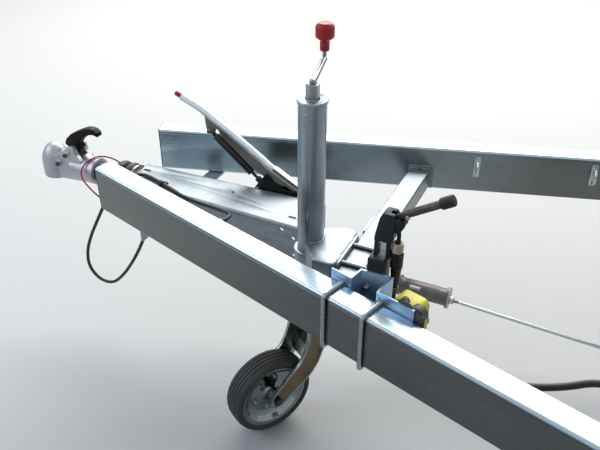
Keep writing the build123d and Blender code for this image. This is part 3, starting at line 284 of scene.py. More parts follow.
# The end caps of the beams: black polyethylene, moulded, pushed into the sawn ends.
# Satin, with a fine moulded grain and a little dust.
def moulded(name, tone, roughness, grain, depth, dust=0.03, shine=0.5):
    """A moulded or painted skin of one colour: a grain of so many metres, and soiling 45 mm across."""
    made, tree, output = blank_material(name)
    place = add(tree, "ShaderNodeTexCoord").outputs["Object"]
    fine = add(tree, "ShaderNodeTexNoise", {"Scale": 1 / grain, "Detail": 2.0}, {0: place})
    soil = add(tree, "ShaderNodeTexNoise", {"Scale": 22.0, "Detail": 5.0, "Roughness": 0.62}, {0: place})
    dusty = [c * 0.8 + dust for c in linear(tone)[:3]] + [1]
    tint = add(tree, "ShaderNodeValToRGB", feeds={0: soil.outputs[0]}, ramp=((0.35, linear(tone)), (0.85, dusty)))
    gloss = add(tree, "ShaderNodeMapRange", {1: 0.3, 2: 0.7, 3: roughness - 0.05, 4: roughness + 0.08},
                {0: soil.outputs[0]})
    relief = add(tree, "ShaderNodeBump", {"Strength": 0.2, "Distance": depth}, {"Height": fine.outputs[0]})
    shade = add(tree, "ShaderNodeBsdfPrincipled", {"Metallic": 0.0, "Specular IOR Level": shine},
                {"Base Color": tint.outputs[0], "Roughness": gloss.outputs[0], "Normal": relief.outputs[0]})
    tree.links.new(shade.outputs[0], output.inputs[0])
    return made


black_plastic = moulded("black_plastic", "15161A", 0.5, 0.0012, 0.0002)
for node in ("plug_near", "plug_far"):
    taken_up(node, black_plastic, edge=0.0008)


# The two cross members: square steel tube with an end plate at each beam, welded and then dipped
# in zinc. Grey, its crystals only just to be seen, with bright weld beads round the plates.
def dipped_zinc(name, dark, light, crystal=0.007, low=0.28, high=0.4, spangle=0.35, pale=0.9):
    """Hot-dip galvanising: crystals of one size, each with its own slight tone and gloss.

    Waves 6 mm long bend the crystals' edges by up to 4 mm, clouds 77 mm across lie over them, and the
    relief has a grain of 2 mm.
    """
    made, tree, output = blank_material(name)
    place = add(tree, "ShaderNodeTexCoord").outputs["Object"]
    waves = add(tree, "ShaderNodeTexNoise", {"Scale": 160.0, "Detail": 2.0}, {0: place})
    bent = add(tree, "ShaderNodeVectorMath", {"Scale": 0.004}, {0: waves.outputs["Color"]}, operation="SCALE")
    moved = add(tree, "ShaderNodeVectorMath", feeds={0: place, 1: bent.outputs[0]}, operation="ADD")
    crystals = add(tree, "ShaderNodeTexVoronoi", {"Scale": 1 / crystal, "Randomness": 1.0},
                   {0: moved.outputs[0]})
    each = add(tree, "ShaderNodeSeparateColor", feeds={0: crystals.outputs["Color"]})
    broad = add(tree, "ShaderNodeTexNoise", {"Scale": 13.0, "Detail": 7.0, "Roughness": 0.62, "Distortion": 0.4},
                {0: place})
    mixed = add(tree, "ShaderNodeMix", {"Factor": 1 - spangle}, {2: each.outputs[0], 3: broad.outputs[0]})
    tone = add(tree, "ShaderNodeValToRGB", feeds={0: mixed.outputs[0]},
               ramp=((0.3, linear(dark)), (0.68, linear(light))))
    gloss = add(tree, "ShaderNodeMapRange", {1: 0.2, 2: 0.8, 3: low, 4: high}, {0: mixed.outputs[0]})
    grain = add(tree, "ShaderNodeTexNoise", {"Scale": 500.0, "Detail": 3.0}, {0: place})
    relief = add(tree, "ShaderNodeBump", {"Strength": 0.10, "Distance": 0.0003}, {"Height": grain.outputs[0]})
    shade = add(tree, "ShaderNodeBsdfPrincipled", {"Metallic": pale},
                {"Base Color": tone.outputs[0], "Roughness": gloss.outputs[0], "Normal": relief.outputs[0]})
    tree.links.new(shade.outputs[0], output.inputs[0])
    return made


def fit(piece, material, body):
    """Paint a new piece, and set the body that carries it."""
    paint(piece, material)
    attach(piece, body)


def round_line(name, kind, places, radius, rings):
    """A round line through places, closed at its ends; returns its object and its spline."""
    data = bpy.data.curves.new(name, "CURVE")
    data.dimensions = "3D"
    data.bevel_depth = radius
    data.bevel_resolution = rings
    data.use_fill_caps = True
    line = data.splines.new(kind)
    line.points.add(len(places) - 1)
    for point, place in zip(line.points, places):
        point.co = (*place, 1)
    piece = bpy.data.objects.new(name, data)
    bpy.context.scene.collection.objects.link(piece)
    return piece, line


def bar_along(name, places, radius, rings, widths=()):
    """A round bar along places, made a mesh; the widths are shares of its radius, one for each place."""
    piece, line = round_line(name, "POLY", places, radius, rings)
    for point, width in zip(line.points, widths):
        point.radius = width
    choose(piece)
    bpy.ops.object.convert(target="MESH")
    return bpy.context.active_object


def weld(name, path, width):
    """A weld bead on the frame: a low rope of overlapping ripples along straight runs between places."""
    stations = []
    for start, end in zip(path, path[1:]):
        steps = max(1, round((end - start).length / (width * 0.4)))
        stations += [start.lerp(end, step / steps) for step in range(steps)]
    stations.append(path[-1])
    ripples = [(1.0, 0.86, 0.74)[count % 3] for count in range(len(stations))]
    bead = bar_along(name, stations, width / 2, 2, ripples)
    bpy.ops.object.shade_smooth()
    fit(bead, weld_zinc, "frame")


def on_side(place, flip):
    """A place or way by the near beam, or its mirror image by the far beam where flip is -1."""
    return Vector((place.x, place.y * flip, place.z))


member_zinc = dipped_zinc("galvanised_members", "6E767B", "838B90")
weld_zinc = dipped_zinc("galvanised_welds", "70787C", "9AA1A5", crystal=0.003)
for node in ("cross_member_front", "cross_member_rear"):
    taken_up(node, member_zinc)
member_top, member_size, end_plate = -0.058, 0.053, 0.006
plate_reach, bead_off = 0.0045, 0.001
for title, member_x in (("front", front_x + 0.662), ("rear", -0.120)):
    middle = member_x + member_size / 2
    run = (middle - front_x) / math.cos(beam_turn)
    half = member_size / math.cos(beam_turn) / 2
    bottom, centre = member_top - member_size, member_top - member_size / 2
    corners = [(-half, member_top), (half, member_top), (half, bottom), (-half, bottom), (-half, member_top)]
    slant = end_plate * math.tan(beam_turn)
    tube_ring = [beside_beam(run - slant + along, end_plate + 0.0006, up) for along, up in corners]
    plate_ring = [
        beside_beam(run + along * (1 + plate_reach / half), bead_off, up + math.copysign(plate_reach, up - centre))
        for along, up in corners
    ]
    for side, flip in (("near", 1), ("far", -1)):
        weld(f"weld_{title}_tube_{side}", [on_side(place, flip) for place in tube_ring], 0.005)
        weld(f"weld_{title}_plate_{side}", [on_side(place, flip) for place in plate_ring], 0.004)


# The overrun housing: a pressed steel channel between the beams, with its brackets, its rear stay
# and the lever that the drawtube pushes. Zinc-dipped like the members, but on smoother sheet.
housing_zinc = dipped_zinc("galvanised_sheet", "868F96", "9FA8AF", crystal=0.009, low=0.4, high=0.52,
                           spangle=0.1, pale=0.82)
for node in ("overrun_housing", "housing_brackets", "rear_stay", "overrun_lever"):
    taken_up(node, housing_zinc, edge=0.0008)


def turned(name, outline, place, way, material, body="frame", node=None, steps=64, edge=0, smooth=32):
    """A turned piece: an outline of millimetre pairs, along and out from its axis, spun round it."""
    axis = Vector(way).normalized()
    out = axis.orthogonal().normalized()
    track = [Vector(place) + (axis * along + out * radius) / 1000 for along, radius in outline]
    bpy.ops.object.select_all(action="DESELECT")
    bpy.ops.mesh.primitive_plane_add(size=0.001, location=track[0])
    piece = bpy.context.active_object
    piece.name = piece.data.name = name
    bpy.ops.object.transform_apply()
    bpy.ops.object.mode_set(mode="EDIT")
    bpy.ops.mesh.select_all(action="SELECT")
    bpy.ops.mesh.merge(type="CENTER")
    for before, after in zip(track, track[1:]):
        bpy.ops.mesh.extrude_region_move(TRANSFORM_OT_translate={"value": after - before})
    bpy.ops.mesh.select_all(action="SELECT")
    bpy.ops.mesh.spin(steps=steps, angle=2 * math.pi, center=place, axis=axis)
    bpy.ops.mesh.select_all(action="SELECT")
    bpy.ops.mesh.remove_doubles(threshold=0.000005)
    bpy.ops.mesh.normals_make_consistent(inside=False)
    bpy.ops.object.mode_set(mode="OBJECT")
    if edge:
        round_edges(piece, edge, steps=3, sharper=25)
    bpy.ops.object.shade_smooth_by_angle(angle=math.radians(smooth))
    paint(piece, material)
    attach(piece, body)
    if node:
        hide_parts(node)
    return piece


def fixings(name, places, way, across, height, material, body="frame", washer=False, stub=0):
    """Hexagon heads or nuts, modelled once and copied, if asked on a washer or with a threaded stub.

    The washer's thickness and width and the thread's size and pitch are shares of the width across flats.
    """
    corner = across / math.cos(math.radians(30)) / 2
    thick = across * 0.12 if washer else 0.0
    bpy.ops.object.select_all(action="DESELECT")
    bpy.ops.mesh.primitive_cylinder_add(vertices=6, radius=corner, depth=height,
                                        location=(0, 0, thick + height / 2))
    head = bpy.context.active_object
    bpy.ops.object.transform_apply()
    bpy.ops.object.mode_set(mode="EDIT")
    bpy.ops.mesh.select_all(action="DESELECT")
    bpy.ops.object.mode_set(mode="OBJECT")
    for face in head.data.polygons:
        face.select = face.normal.z > 0.9
    bpy.ops.object.mode_set(mode="EDIT")
    bpy.ops.mesh.inset(thickness=corner * 0.13, depth=corner * 0.09)
    if washer:
        bpy.ops.mesh.primitive_cylinder_add(vertices=32, radius=across * 0.68, depth=thick,
                                            location=(0, 0, thick / 2))
    if stub:
        bolt, pitch, root = across * 0.3, across * 0.1, 0.87
        bpy.ops.mesh.primitive_circle_add(vertices=20, radius=bolt, fill_type="NGON",
                                          location=(0, 0, thick + height * 0.9))
        for turn in range(int((stub + height * 0.1) / pitch * 2)):
            bpy.ops.mesh.extrude_region_move(TRANSFORM_OT_translate={"value": (0, 0, pitch / 2)})
            size = root if turn % 2 else 1 / root
            bpy.ops.transform.resize(value=(size, size, 1))
    bpy.ops.mesh.select_all(action="SELECT")
    bpy.ops.mesh.normals_make_consistent(inside=False)
    bpy.ops.object.mode_set(mode="OBJECT")
    turn = Vector(way).to_track_quat("Z", "Y")
    made = []
    for place in places:
        choose(head)
        bpy.ops.object.duplicate()
        made.append(bpy.context.active_object)
        made[-1].rotation_mode = "QUATERNION"
        made[-1].rotation_quaternion = turn
        made[-1].location = place
    bpy.data.objects.remove(head)
    bpy.ops.object.select_all(action="DESELECT")
    for piece in made:
        piece.select_set(True)
    bpy.context.view_layer.objects.active = made[0]
    if len(made) > 1:
        bpy.ops.object.join()
    piece = bpy.context.active_object
    piece.name = piece.data.name = name
    bpy.ops.object.transform_apply()
    bpy.ops.object.shade_smooth_by_angle(angle=math.radians(30))
    fit(piece, material, body)


# Small fittings: steel electroplated with zinc. Brighter and smoother than the dipped pieces, a
# little blue, with faint patches where the plating wore.
def plated_zinc(name, tone, low=0.2, high=0.34):
    """Electroplated zinc: bright, with faint worn patches about 17 mm across."""
    made, tree, output = blank_material(name)
    place = add(tree, "ShaderNodeTexCoord").outputs["Object"]
    patches = add(tree, "ShaderNodeTexNoise", {"Scale": 60.0, "Detail": 6.0, "Roughness": 0.6}, {0: place})
    rubbed = [c * 0.86 for c in linear(tone)[:3]] + [1]
    tint = add(tree, "ShaderNodeValToRGB", feeds={0: patches.outputs[0]}, ramp=((0.3, rubbed), (0.7, linear(tone))))
    gloss = add(tree, "ShaderNodeMapRange", {1: 0.3, 2: 0.7, 3: low, 4: high}, {0: patches.outputs[0]})
    shade = add(tree, "ShaderNodeBsdfPrincipled", {"Metallic": 1.0},
                {"Base Color": tint.outputs[0], "Roughness": gloss.outputs[0]})
    tree.links.new(shade.outputs[0], output.inputs[0])
    return made


bright_zinc = plated_zinc("bright_zinc", "A4A9AE")
housing_rear = 512
pivot_x, pivot_z, pivot_half = housing_rear + 63, -168, 28.2
for side, way in (("near", -1), ("far", 1)):
    fixings(f"lever_pivot_nut_{side}", [spot(pivot_x, way * pivot_half, pivot_z)], (0, way, 0), 0.017, 0.005,
            bright_zinc)


# The brake's spring cylinder and rod: painted sheet tube with pressed end flanges, its paint worn to
# a warm grey, and a plated rod with a threaded end and lock nut.
def worn(name, tone, bare, low, high, per_metre=26.0):
    """Old satin paint rubbed through to bare metal at random, in so many patches to the metre."""
    made, tree, output = blank_material(name)
    place = add(tree, "ShaderNodeTexCoord").outputs["Object"]
    rubs = add(tree, "ShaderNodeTexNoise", {"Scale": per_metre, "Detail": 9.0, "Roughness": 0.7}, {0: place})
    tint = add(tree, "ShaderNodeValToRGB", feeds={0: rubs.outputs[0]},
               ramp=((0.42, linear(tone)), (0.72, linear(bare))))
    gloss = add(tree, "ShaderNodeMapRange", {1: 0.3, 2: 0.7, 3: low, 4: high}, {0: rubs.outputs[0]})
    relief = add(tree, "ShaderNodeBump", {"Strength": 0.15, "Distance": 0.0002}, {"Height": rubs.outputs[0]})
    shade = add(tree, "ShaderNodeBsdfPrincipled", {"Metallic": 0.35},
                {"Base Color": tint.outputs[0], "Roughness": gloss.outputs[0], "Normal": relief.outputs[0]})
    tree.links.new(shade.outputs[0], output.inputs[0])
    return made


def small_block(name, place, size, material):
    """A small rectangular piece on the frame: its middle, and its length, width and height in metres."""
    bpy.ops.mesh.primitive_cube_add(size=1, location=place)
    piece = bpy.context.active_object
    piece.name = piece.data.name = name
    bpy.ops.transform.resize(value=size)
    bpy.ops.object.transform_apply()
    fit(piece, material, "frame")


spring_paint = worn("worn_spring_paint", "6F6A69", "8D857E", 0.35, 0.5)
link_z, spring_front, spring_rear = -217, 744, 862
turned("spring_cylinder_shown", [
    (pivot_x + 11, 0), (pivot_x + 11, 9.4), (pivot_x + 12, 10), (pivot_x + 33, 10),
    (pivot_x + 38, 6), (spring_front - 8, 6), (spring_front - 8, 14), (spring_front, 24.4),
    (spring_front + 1, 25), (spring_front + 5, 25), (spring_front + 5, 21), (spring_front + 12, 21),
    (spring_front + 14, 20.2), (spring_front + 18, 20.2), (spring_front + 20, 21), (spring_rear - 20, 21),
    (spring_rear - 18, 20.2), (spring_rear - 14, 20.2), (spring_rear - 12, 21), (spring_rear, 21),
    (spring_rear, 25), (spring_rear + 4.4, 25), (spring_rear + 5, 24.4), (spring_rear + 5, 0),
], spot(0, 0, link_z), (1, 0, 0), spring_paint, node="spring_cylinder", edge=0.0004)
end_paint = moulded("cream_end_paint", "C9C2B2", 0.45, 0.002, 0.0001, dust=0.0)
small_block("spring_tab", spot(788, -19.5, -199), (0.026, 0.007, 0.006), end_paint)
turned("spring_end_plate", [
    (spring_rear + 5.1, 0), (spring_rear + 5.1, 26.4), (spring_rear + 6.6, 26.4), (spring_rear + 7, 26),
    (spring_rear + 7, 0),
], spot(0, 0, link_z), (1, 0, 0), end_paint, steps=48)
taken_up("brake_rod", plated_zinc("drawn_bright_rod", "D3D6DA", 0.25, 0.35))
rod_z, rod_way, thread_pitch = -221, (1, 0, -0.048), 1.25
rod_ring = [(0, 4.2)]
for turn in range(9):
    rod_ring += [(turn * thread_pitch + along, radius) for along, radius in ((0.3, 4.2), (0.6, 4.7), (0.95, 4.2))]
rod_ring += [(12, 4.2), (12, 3.6)]
turned("brake_rod_thread", rod_ring, spot(spring_rear + 17, 0, rod_z), rod_way, bright_zinc,
       steps=24, smooth=10)
fixings("brake_rod_nut", [spot(spring_rear + 7, 0, rod_z)], rod_way, 0.016, 0.008, bright_zinc, washer=True)


# The drawtube with its guide flange and the bellows: zinc-dipped tube, a machined cast flange that
# shines where the bellows ends, and black rubber gone brown in the sun.
taken_up("drawtube", dipped_zinc("galvanised_drawtube", "8A93A0", "A5AEBA", crystal=0.005, spangle=0.2))
taken_up("guide_flange", plated_zinc("machined_flange", "B0A8A8", 0.2, 0.32), edge=0.001)
bellows_rubber = moulded("bellows_rubber", "2B2113", 0.5, 0.003, 0.0003, dust=0.004)
tube_z, bellows_front, bellows_rear = -114, -76, -16
bellows_bore, bellows_waist, rib_height = 27.8, 37, 11
pitch = (bellows_rear - bellows_front) / 2
fold = [(bellows_front, bellows_bore), (bellows_front, bellows_waist - 0.8), (bellows_front + 1, bellows_waist)]
for rib in range(2):
    for step in range(20):
        fold.append((
            bellows_front + pitch * (rib + 0.06 + step / 20 * 0.94),
            bellows_waist + rib_height * max(0.0, math.sin(math.pi * min(1.0, step / 19))) ** 0.6,
        ))
fold += [(bellows_rear - 0.4, bellows_waist), (bellows_rear, bellows_waist - 0.8), (bellows_rear, bellows_bore),
         (bellows_front, bellows_bore)]
bellows = turned("bellows_shown", fold, spot(0, 0, tube_z), (1, 0, 0), bellows_rubber, node="bellows", steps=72,
                 smooth=50)
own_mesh(bellows)


# The coupling head: a grey iron casting, zinc-dipped over a rough cast skin, so it is pale and a
# little violet, with soft edges. Two screws hold the pad's cheeks, and a black handle opens it.
cast_zinc = dipped_zinc("zinc_on_casting", "A0A3AC", "C2C2C6", crystal=0.004, low=0.34, high=0.48,
                        spangle=0.15, pale=0.6)
# Its edges are rounded as sand casting leaves them: a skin of 1.2 mm cells, smoothed six times.
casting = taken_up("coupling_head", cast_zinc, edge=0)
choose(casting)
skin = casting.modifiers.new("skin", "REMESH")
skin.mode = "VOXEL"
skin.voxel_size = 0.0012
bpy.ops.object.modifier_apply(modifier="skin")
soft = casting.modifiers.new("soft", "SMOOTH")
soft.factor = 0.5
soft.iterations = 6
bpy.ops.object.modifier_apply(modifier="soft")
bpy.ops.object.shade_smooth_by_angle(angle=math.radians(60))
dark_screw = plated_zinc("darkened_screws", "4A4C50", 0.3, 0.45)
cheek_half = 34
for title, side in (("near", -1), ("far", 1)):
    fixings(f"coupling_screws_{title}", [spot(x, side * cheek_half, z) for x, z in ((-227, -68), (-260, -101))],
            (0, side, 0), 0.012, 0.004, dark_screw, "coupling")
handle_plastic = moulded("handle_plastic", "070708", 0.44, 0.0015, 0.0001, dust=0.006, shine=0.14)
taken_up("coupling_handle", handle_plastic, edge=0.001)


# The parking brake: a black foot bolted to the housing's far side and a pressed lever whose back is
# a round bar that ends in a thicker sheath. The bar and sheath are a pale copy of the lever's zinc,
# painted light, and the channel's side is a tan copy, painted shade. It has a red push button, and
# a gas spring beside it, black and glossy, on a blackened rod.
lever_y = 84
axle_x, axle_z = 457.8, -86.1
black_paint = worn("black_paint", "0F1012", "2B2A28", 0.3, 0.5, per_metre=40.0)
taken_up("lever_foot", black_paint, edge=0.001)
# The channel's tan is painted shade on the lever's side.
brake_lever = taken_up("brake_lever", plated_zinc("lever_channel_painted_shade", "98958B", 0.32, 0.45), edge=0)
channel_half = 0.0085
bar_line = [spot(x, lever_y, z) for x, z in ((97.7, 121.7), (151, 100), (236.6, 49.7), (330, -10), (360, -32.6))]
bpy.ops.object.mode_set(mode="EDIT")
bpy.ops.mesh.select_mode(type="EDGE")
bpy.ops.mesh.select_all(action="DESELECT")
bpy.ops.object.mode_set(mode="OBJECT")
for edge in brake_lever.data.edges:
    ends = [brake_lever.data.vertices[number].co for number in edge.vertices]
    beside = []
    for end in ends:
        near = []
        for start, stop in zip(bar_line, bar_line[1:]):
            share = max(0.0, min(1.0, (end - start).dot(stop - start) / (stop - start).length_squared))
            foot = start.lerp(stop, share)
            near.append(Vector((end.x - foot.x, 0, end.z - foot.z)).length)
        beside.append(0.0066 < min(near) < 0.0076 and abs(abs(end.y - lever_y / 1000) - channel_half) < 0.0002)
    edge.select = all(beside) and abs(ends[0].y - ends[1].y) < 0.0002
bpy.ops.object.mode_set(mode="EDIT")
bpy.ops.mesh.bevel(offset=0.0045, segments=4, affect="EDGES")
bpy.ops.mesh.select_mode(type="VERT")
bpy.ops.object.mode_set(mode="OBJECT")
round_edges(brake_lever, 0.0008)
bpy.ops.object.shade_smooth_by_angle(angle=math.radians(32))
# The pale zinc of the bar and sheath is painted light on the lever's rounded back.
lever_painted_light_zinc = plated_zinc("lever_bar_painted_light", "E4ECF4", 0.24, 0.34)
sheath_line = [spot(x, lever_y, z) for x, z in ((348, -25.6), (360, -32.6), (404, -56.7), (axle_x, axle_z))]
for title, line_of, wide, across in (
    ("lever_bar", bar_line, 0.0095, 1.08),
    ("lever_sheath", sheath_line, 0.0121, 0.73),
):
    bends = []
    for before, corner, after in zip([line_of[0]] + line_of, line_of, line_of[1:] + [line_of[-1]]):
        start, stop = corner.lerp(before, 0.12), corner.lerp(after, 0.12)
        bends += [start.lerp(corner, part).lerp(corner.lerp(stop, part), part) for part in (0, 0.25, 0.5, 0.75, 1)]
    bar = bar_along(title, bends, wide, 6)
    bpy.ops.object.mode_set(mode="EDIT")
    bpy.ops.mesh.select_all(action="SELECT")
    bpy.ops.transform.resize(value=(1, across, 1), center_override=(0, lever_y / 1000, 0))
    bpy.ops.mesh.remove_doubles(threshold=0.00001)
    bpy.ops.object.mode_set(mode="OBJECT")
    bpy.ops.object.shade_smooth_by_angle(angle=math.radians(40))
    fit(bar, lever_painted_light_zinc, "brake_lever")
taken_up("release_button", moulded("red_button", "B3161C", 0.32, 0.002, 0.0001, dust=0.01), edge=0.0006)
gas_top, gas_foot = spot(180, lever_y, 43.5), spot(334.4, lever_y, -84)
gas_way = (gas_foot - gas_top).normalized()
fixings("lever_axle_nut", [spot(axle_x, lever_y + 12, axle_z)], (0, 1, 0), 0.015, 0.006, bright_zinc)
fixings("gas_top_bolt", [gas_top - Vector((0, channel_half, 0))], (0, -1, 0), 0.011, 0.0035, bright_zinc,
        "brake_lever")
fixings("lever_foot_bolt", [spot(322, lever_y - 12, -90)], (0, -1, 0), 0.010, 0.004, bright_zinc)
gas_paint = moulded("glossy_black_paint", "0C0D0E", 0.38, 0.003, 0.00005, dust=0.006)
taken_up("gas_cylinder", gas_paint, edge=0.0012)
turned("gas_cylinder_rings", [
    (146, 10.9), (146, 11.15), (147, 11.15), (148, 10.5), (149, 11.15), (150, 11.15), (150, 10.9), (146, 10.9),
], gas_top, gas_way, gas_paint, "gas_cylinder", steps=48, smooth=50)
taken_up("gas_rod", plated_zinc("blacked_rod", "2A2C2F", 0.2, 0.3))
turned("gas_rod_sleeve", [(172, 0), (172, 7.6), (173, 8.4), (194, 8.4), (195, 7.6), (195, 0)], gas_top, gas_way,
       gas_paint, "gas_rod", steps=32)


# The jockey wheel: a drawn steel tube in a pressed saddle, with its crank and knob on top. The tube
# is zinc-dipped but smooth, with tall soft bands; the knob is dark red plastic.
tube_zinc = dipped_zinc("smooth_zinc_tube", "899399", "A3ACB0", crystal=0.012, low=0.32, high=0.42,
                        spangle=0.08)
taken_up("jockey_tube", tube_zinc, edge=0.0006)
taken_up("jockey_inner_tube", tube_zinc)
taken_up("jockey_saddle", housing_zinc, edge=0.001)
saddle_rear, clamp_ys = 656, (-112, -184)
for title, y in zip(("front", "rear"), clamp_ys):
    small_block(f"saddle_lip_{title}", spot(saddle_rear - 10, y, -44.85), (0.0204, 0.0184, 0.0018),
                housing_zinc)
jockey_x, jockey_y, bead_out = 566, -134, 31.2
half_ring = [
    spot(jockey_x + bead_out * math.cos(turn), jockey_y + bead_out * math.sin(turn), -43.6)
    for turn in [math.radians(-78 + 12 * step) for step in range(14)]
]
weld("saddle_weld", half_ring, 0.005)
turned("tube_rivet", [(0, 0), (0, 4.2), (1, 4), (2.2, 2.8), (2.8, 0)], spot(jockey_x, jockey_y - 29.6, 259),
       (0, -1, 0), bright_zinc, steps=24)
taken_up("jockey_u_bolts", bright_zinc)
clamp_places = [spot(saddle_rear - 0.1, y, z) for y in clamp_ys for z in (-53.9, -115.1)]
fixings("saddle_nuts", clamp_places, (-1, 0, 0), 0.0132, 0.0075, bright_zinc, washer=True, stub=0.0065)
crank_turn, crank_reach, crank_z = math.radians(103.7), 132, 321
crank_arm_way = (math.cos(crank_turn), math.sin(crank_turn), 0)
knob_place = spot(jockey_x + crank_reach * crank_arm_way[0], jockey_y + crank_reach * crank_arm_way[1], crank_z)
crank_metal = plated_zinc("bright_crank", "989A9C", 0.24, 0.36)
turned("crank_collar", [(289.4, 0), (289.4, 15), (290, 15.6), (292, 15.6), (292.6, 15), (292.6, 0)],
       spot(jockey_x, jockey_y, 0), (0, 0, 1), crank_metal, "crank", steps=40)
fixings("crank_hub", [spot(jockey_x, jockey_y, 292)], (0, 0, 1), 0.0245, 0.024, tube_zinc, "crank")
turned("crank_arm", [
    (-8, 0), (-8, 4), (-6, 6.4), (-4, 6.9), (126, 6.9), (131, 6.6), (137, 5), (139.6, 2.6), (140, 0),
], spot(jockey_x, jockey_y, crank_z), crank_arm_way, crank_metal, "crank", node="jockey_crank", steps=32, smooth=40)
turned("crank_pin", [(-4, 0), (-4, 4.5), (44, 4.5), (44, 0)], knob_place, (0, 0, 1), crank_metal, "crank",
       steps=24)
knob_plastic = moulded("red_knob", "B0161C", 0.4, 0.003, 0.0001, dust=0.0)
turned("crank_knob_shown", [
    (18, 4.8), (18, 9.6), (18.6, 10.2), (22, 10.6), (38, 10.6), (40, 11.6), (42, 14), (45.4, 18.6), (47, 20),
    (50, 20.6), (68, 20.4), (70, 19.8), (75.4, 15.4), (76.4, 14.2), (77, 12), (77.2, 0), (44.3, 0),
    (44.3, 4.8), (18, 4.8),
], knob_place, (0, 0, 1), knob_plastic, "crank", node="crank_knob", smooth=40)


# The castor fork and its wheel: a fork pressed from plated sheet, its broad webs gone olive, with a
# thin guard between its legs, on a dark axle; a pressed rim, bright as chrome, of two dishes bolted
# together; and a grooved solid rubber tyre.
fork_turn = math.radians(238.5)
trail_way = Vector((math.cos(fork_turn), math.sin(fork_turn), 0))
axle_way = Vector((trail_way.y, -trail_way.x, 0))
wheel_centre = spot(jockey_x, jockey_y, -462.5) + trail_way * 0.120
fork_place, web_inner, web_outer = spot(jockey_x, jockey_y, 0), 0.0400, 0.0425


def on_web(face):
    """Whether a face of the fork lies on the outside of one of its broad webs."""
    off = abs((face.center - fork_place).dot(axle_way))
    return abs(face.normal.dot(axle_way)) > 0.95 and web_inner < off < web_outer


fork_metal = plated_zinc("fork_rim_zinc", "9AA39E", 0.24, 0.36)
olive_zinc = dipped_zinc("olive_zinc_web", "5E4C50", "7E7652", low=0.26, high=0.4, spangle=0.0, pale=1.0)
paint_some(taken_up("jockey_fork", fork_metal, edge=0.001), olive_zinc, on_web)
guard, guard_half = [(4, -378), (23, -402), (-3, -382), (16, -410)], 0.0415
bpy.ops.object.select_all(action="DESELECT")
bpy.ops.mesh.primitive_plane_add(size=0.001, location=(0, 0, 0))
guard_piece = bpy.context.active_object
guard_piece.name = guard_piece.data.name = "fork_guard"
for vertex, (along, rise) in zip(guard_piece.data.vertices, guard):
    vertex.co = fork_place + trail_way * along / 1000 + Vector((0, 0, rise / 1000)) - axle_way * guard_half
bpy.ops.object.mode_set(mode="EDIT")
bpy.ops.mesh.select_all(action="SELECT")
bpy.ops.mesh.extrude_region_move(TRANSFORM_OT_translate={"value": axle_way * 2 * guard_half})
bpy.ops.mesh.select_all(action="SELECT")
bpy.ops.mesh.normals_make_consistent(inside=False)
bpy.ops.object.mode_set(mode="OBJECT")
fit(guard_piece, fork_metal, "fork")
turned("wheel_axle_shown", [(-50, 0), (-50, 7), (-49, 8), (49, 8), (50, 7), (50, 0)], wheel_centre, axle_way,
       dark_screw, "fork", node="wheel_axle", steps=32)
nut_off = 0.0462
for title, side in (("far", -1), ("near", 1)):
    fixings(f"axle_nut_{title}", [wheel_centre + axle_way * side * nut_off], axle_way * side, 0.017, 0.0065,
            dark_screw, "fork")


def both_halves(half, middle=()):
    """A closed outline: one half of it, what lies in the middle, and the half's mirror image."""
    return [*half, *middle, *[(-along, radius) for along, radius in reversed(half)], half[0]]


rim_metal = plated_zinc("bright_rim", "8B9494", 0.05, 0.11)
turned("jockey_rim_shown", both_halves([
    (-35, 8.2), (-35, 16.4), (-34.4, 17), (-13, 17), (-12, 17.6), (-8.6, 23), (-8, 24.5), (-8, 55),
    (-8.6, 57.5), (-13.6, 68.6), (-15, 71), (-24, 78), (-25, 79.6), (-26.4, 87.6), (-26.8, 88.9), (-26, 89),
    (-24, 89), (-22, 83),
]), wheel_centre, axle_way, rim_metal, "jockey_wheel", node="jockey_rim", steps=96, smooth=40)
up, rim_half, bolt_circle = Vector((0, 0, 1)), 0.0079, 0.046
for title, side, height, stub in (("rim_bolts_far", -1, 0.0035, 0), ("rim_nuts_near", 1, 0.005, 0.003)):
    rim_bolts = []
    for turn in range(6):
        angle = math.radians(288 + 60 * turn)
        out = trail_way * math.cos(angle) + up * math.sin(angle)
        rim_bolts.append(wheel_centre + out * bolt_circle + axle_way * side * rim_half)
    fixings(title, rim_bolts, axle_way * side, 0.010, height, bright_zinc, "jockey_wheel", washer=True, stub=stub)
tyre_rubber = moulded("tyre_rubber", "2A2C2D", 0.62, 0.003, 0.0004, dust=0.03)
tread = []
for groove in (-15, -5, 5, 15):
    crown = 107.5 - 0.02 * (abs(groove) + 2) ** 1.2
    tread += [(groove - 1.2, crown), (groove - 0.8, 105.2), (groove + 0.8, 105.2), (groove + 1.2, crown)]
tyre_outline = both_halves([
    (-21.7, 83.3), (-23.8, 89.3), (-29, 89.3), (-30.6, 89.9), (-31.8, 91.4), (-32.5, 93.6), (-32.3, 95),
    (-31.7, 95.2), (-31.7, 96.2), (-32.2, 96.5), (-31.6, 98), (-30, 99.3), (-28.6, 102), (-26.6, 103.6),
    (-24.5, 104.5),
], tread)
turned("jockey_tyre_shown", tyre_outline, wheel_centre, axle_way, tyre_rubber, "jockey_wheel",
       node="jockey_tyre", steps=96, smooth=35)


# The hat bracket on the near beam: folded sheet, zinc-plated to a cold blue-grey, held by two U-bolts
# round the beam, with washers, nuts and thread ends inside.
bracket_zinc = dipped_zinc("blue_zinc", "8AAAC6", "A6C2D8", crystal=0.006, low=0.34, high=0.46,
                           spangle=0.15, pale=0.75)
taken_up("hat_bracket", bracket_zinc, edge=0.0008)
taken_up("beam_u_bolts", bright_zinc)
inward = Vector((math.sin(beam_turn), math.cos(beam_turn), 0))
beam_nuts = [beside_beam(run, 0.0039, up) for run in (0.751, 0.843) for up in (0.0046, -0.1246)]
fixings("beam_nuts", beam_nuts, inward, 0.015, 0.0078, bright_zinc, washer=True, stub=0.0045)
fixings("bracket_bolts", [spot(756, -290, z) for z in (-16, -44)], (0, -1, 0), 0.012, 0.005, bright_zinc,
        washer=True, stub=0.003)


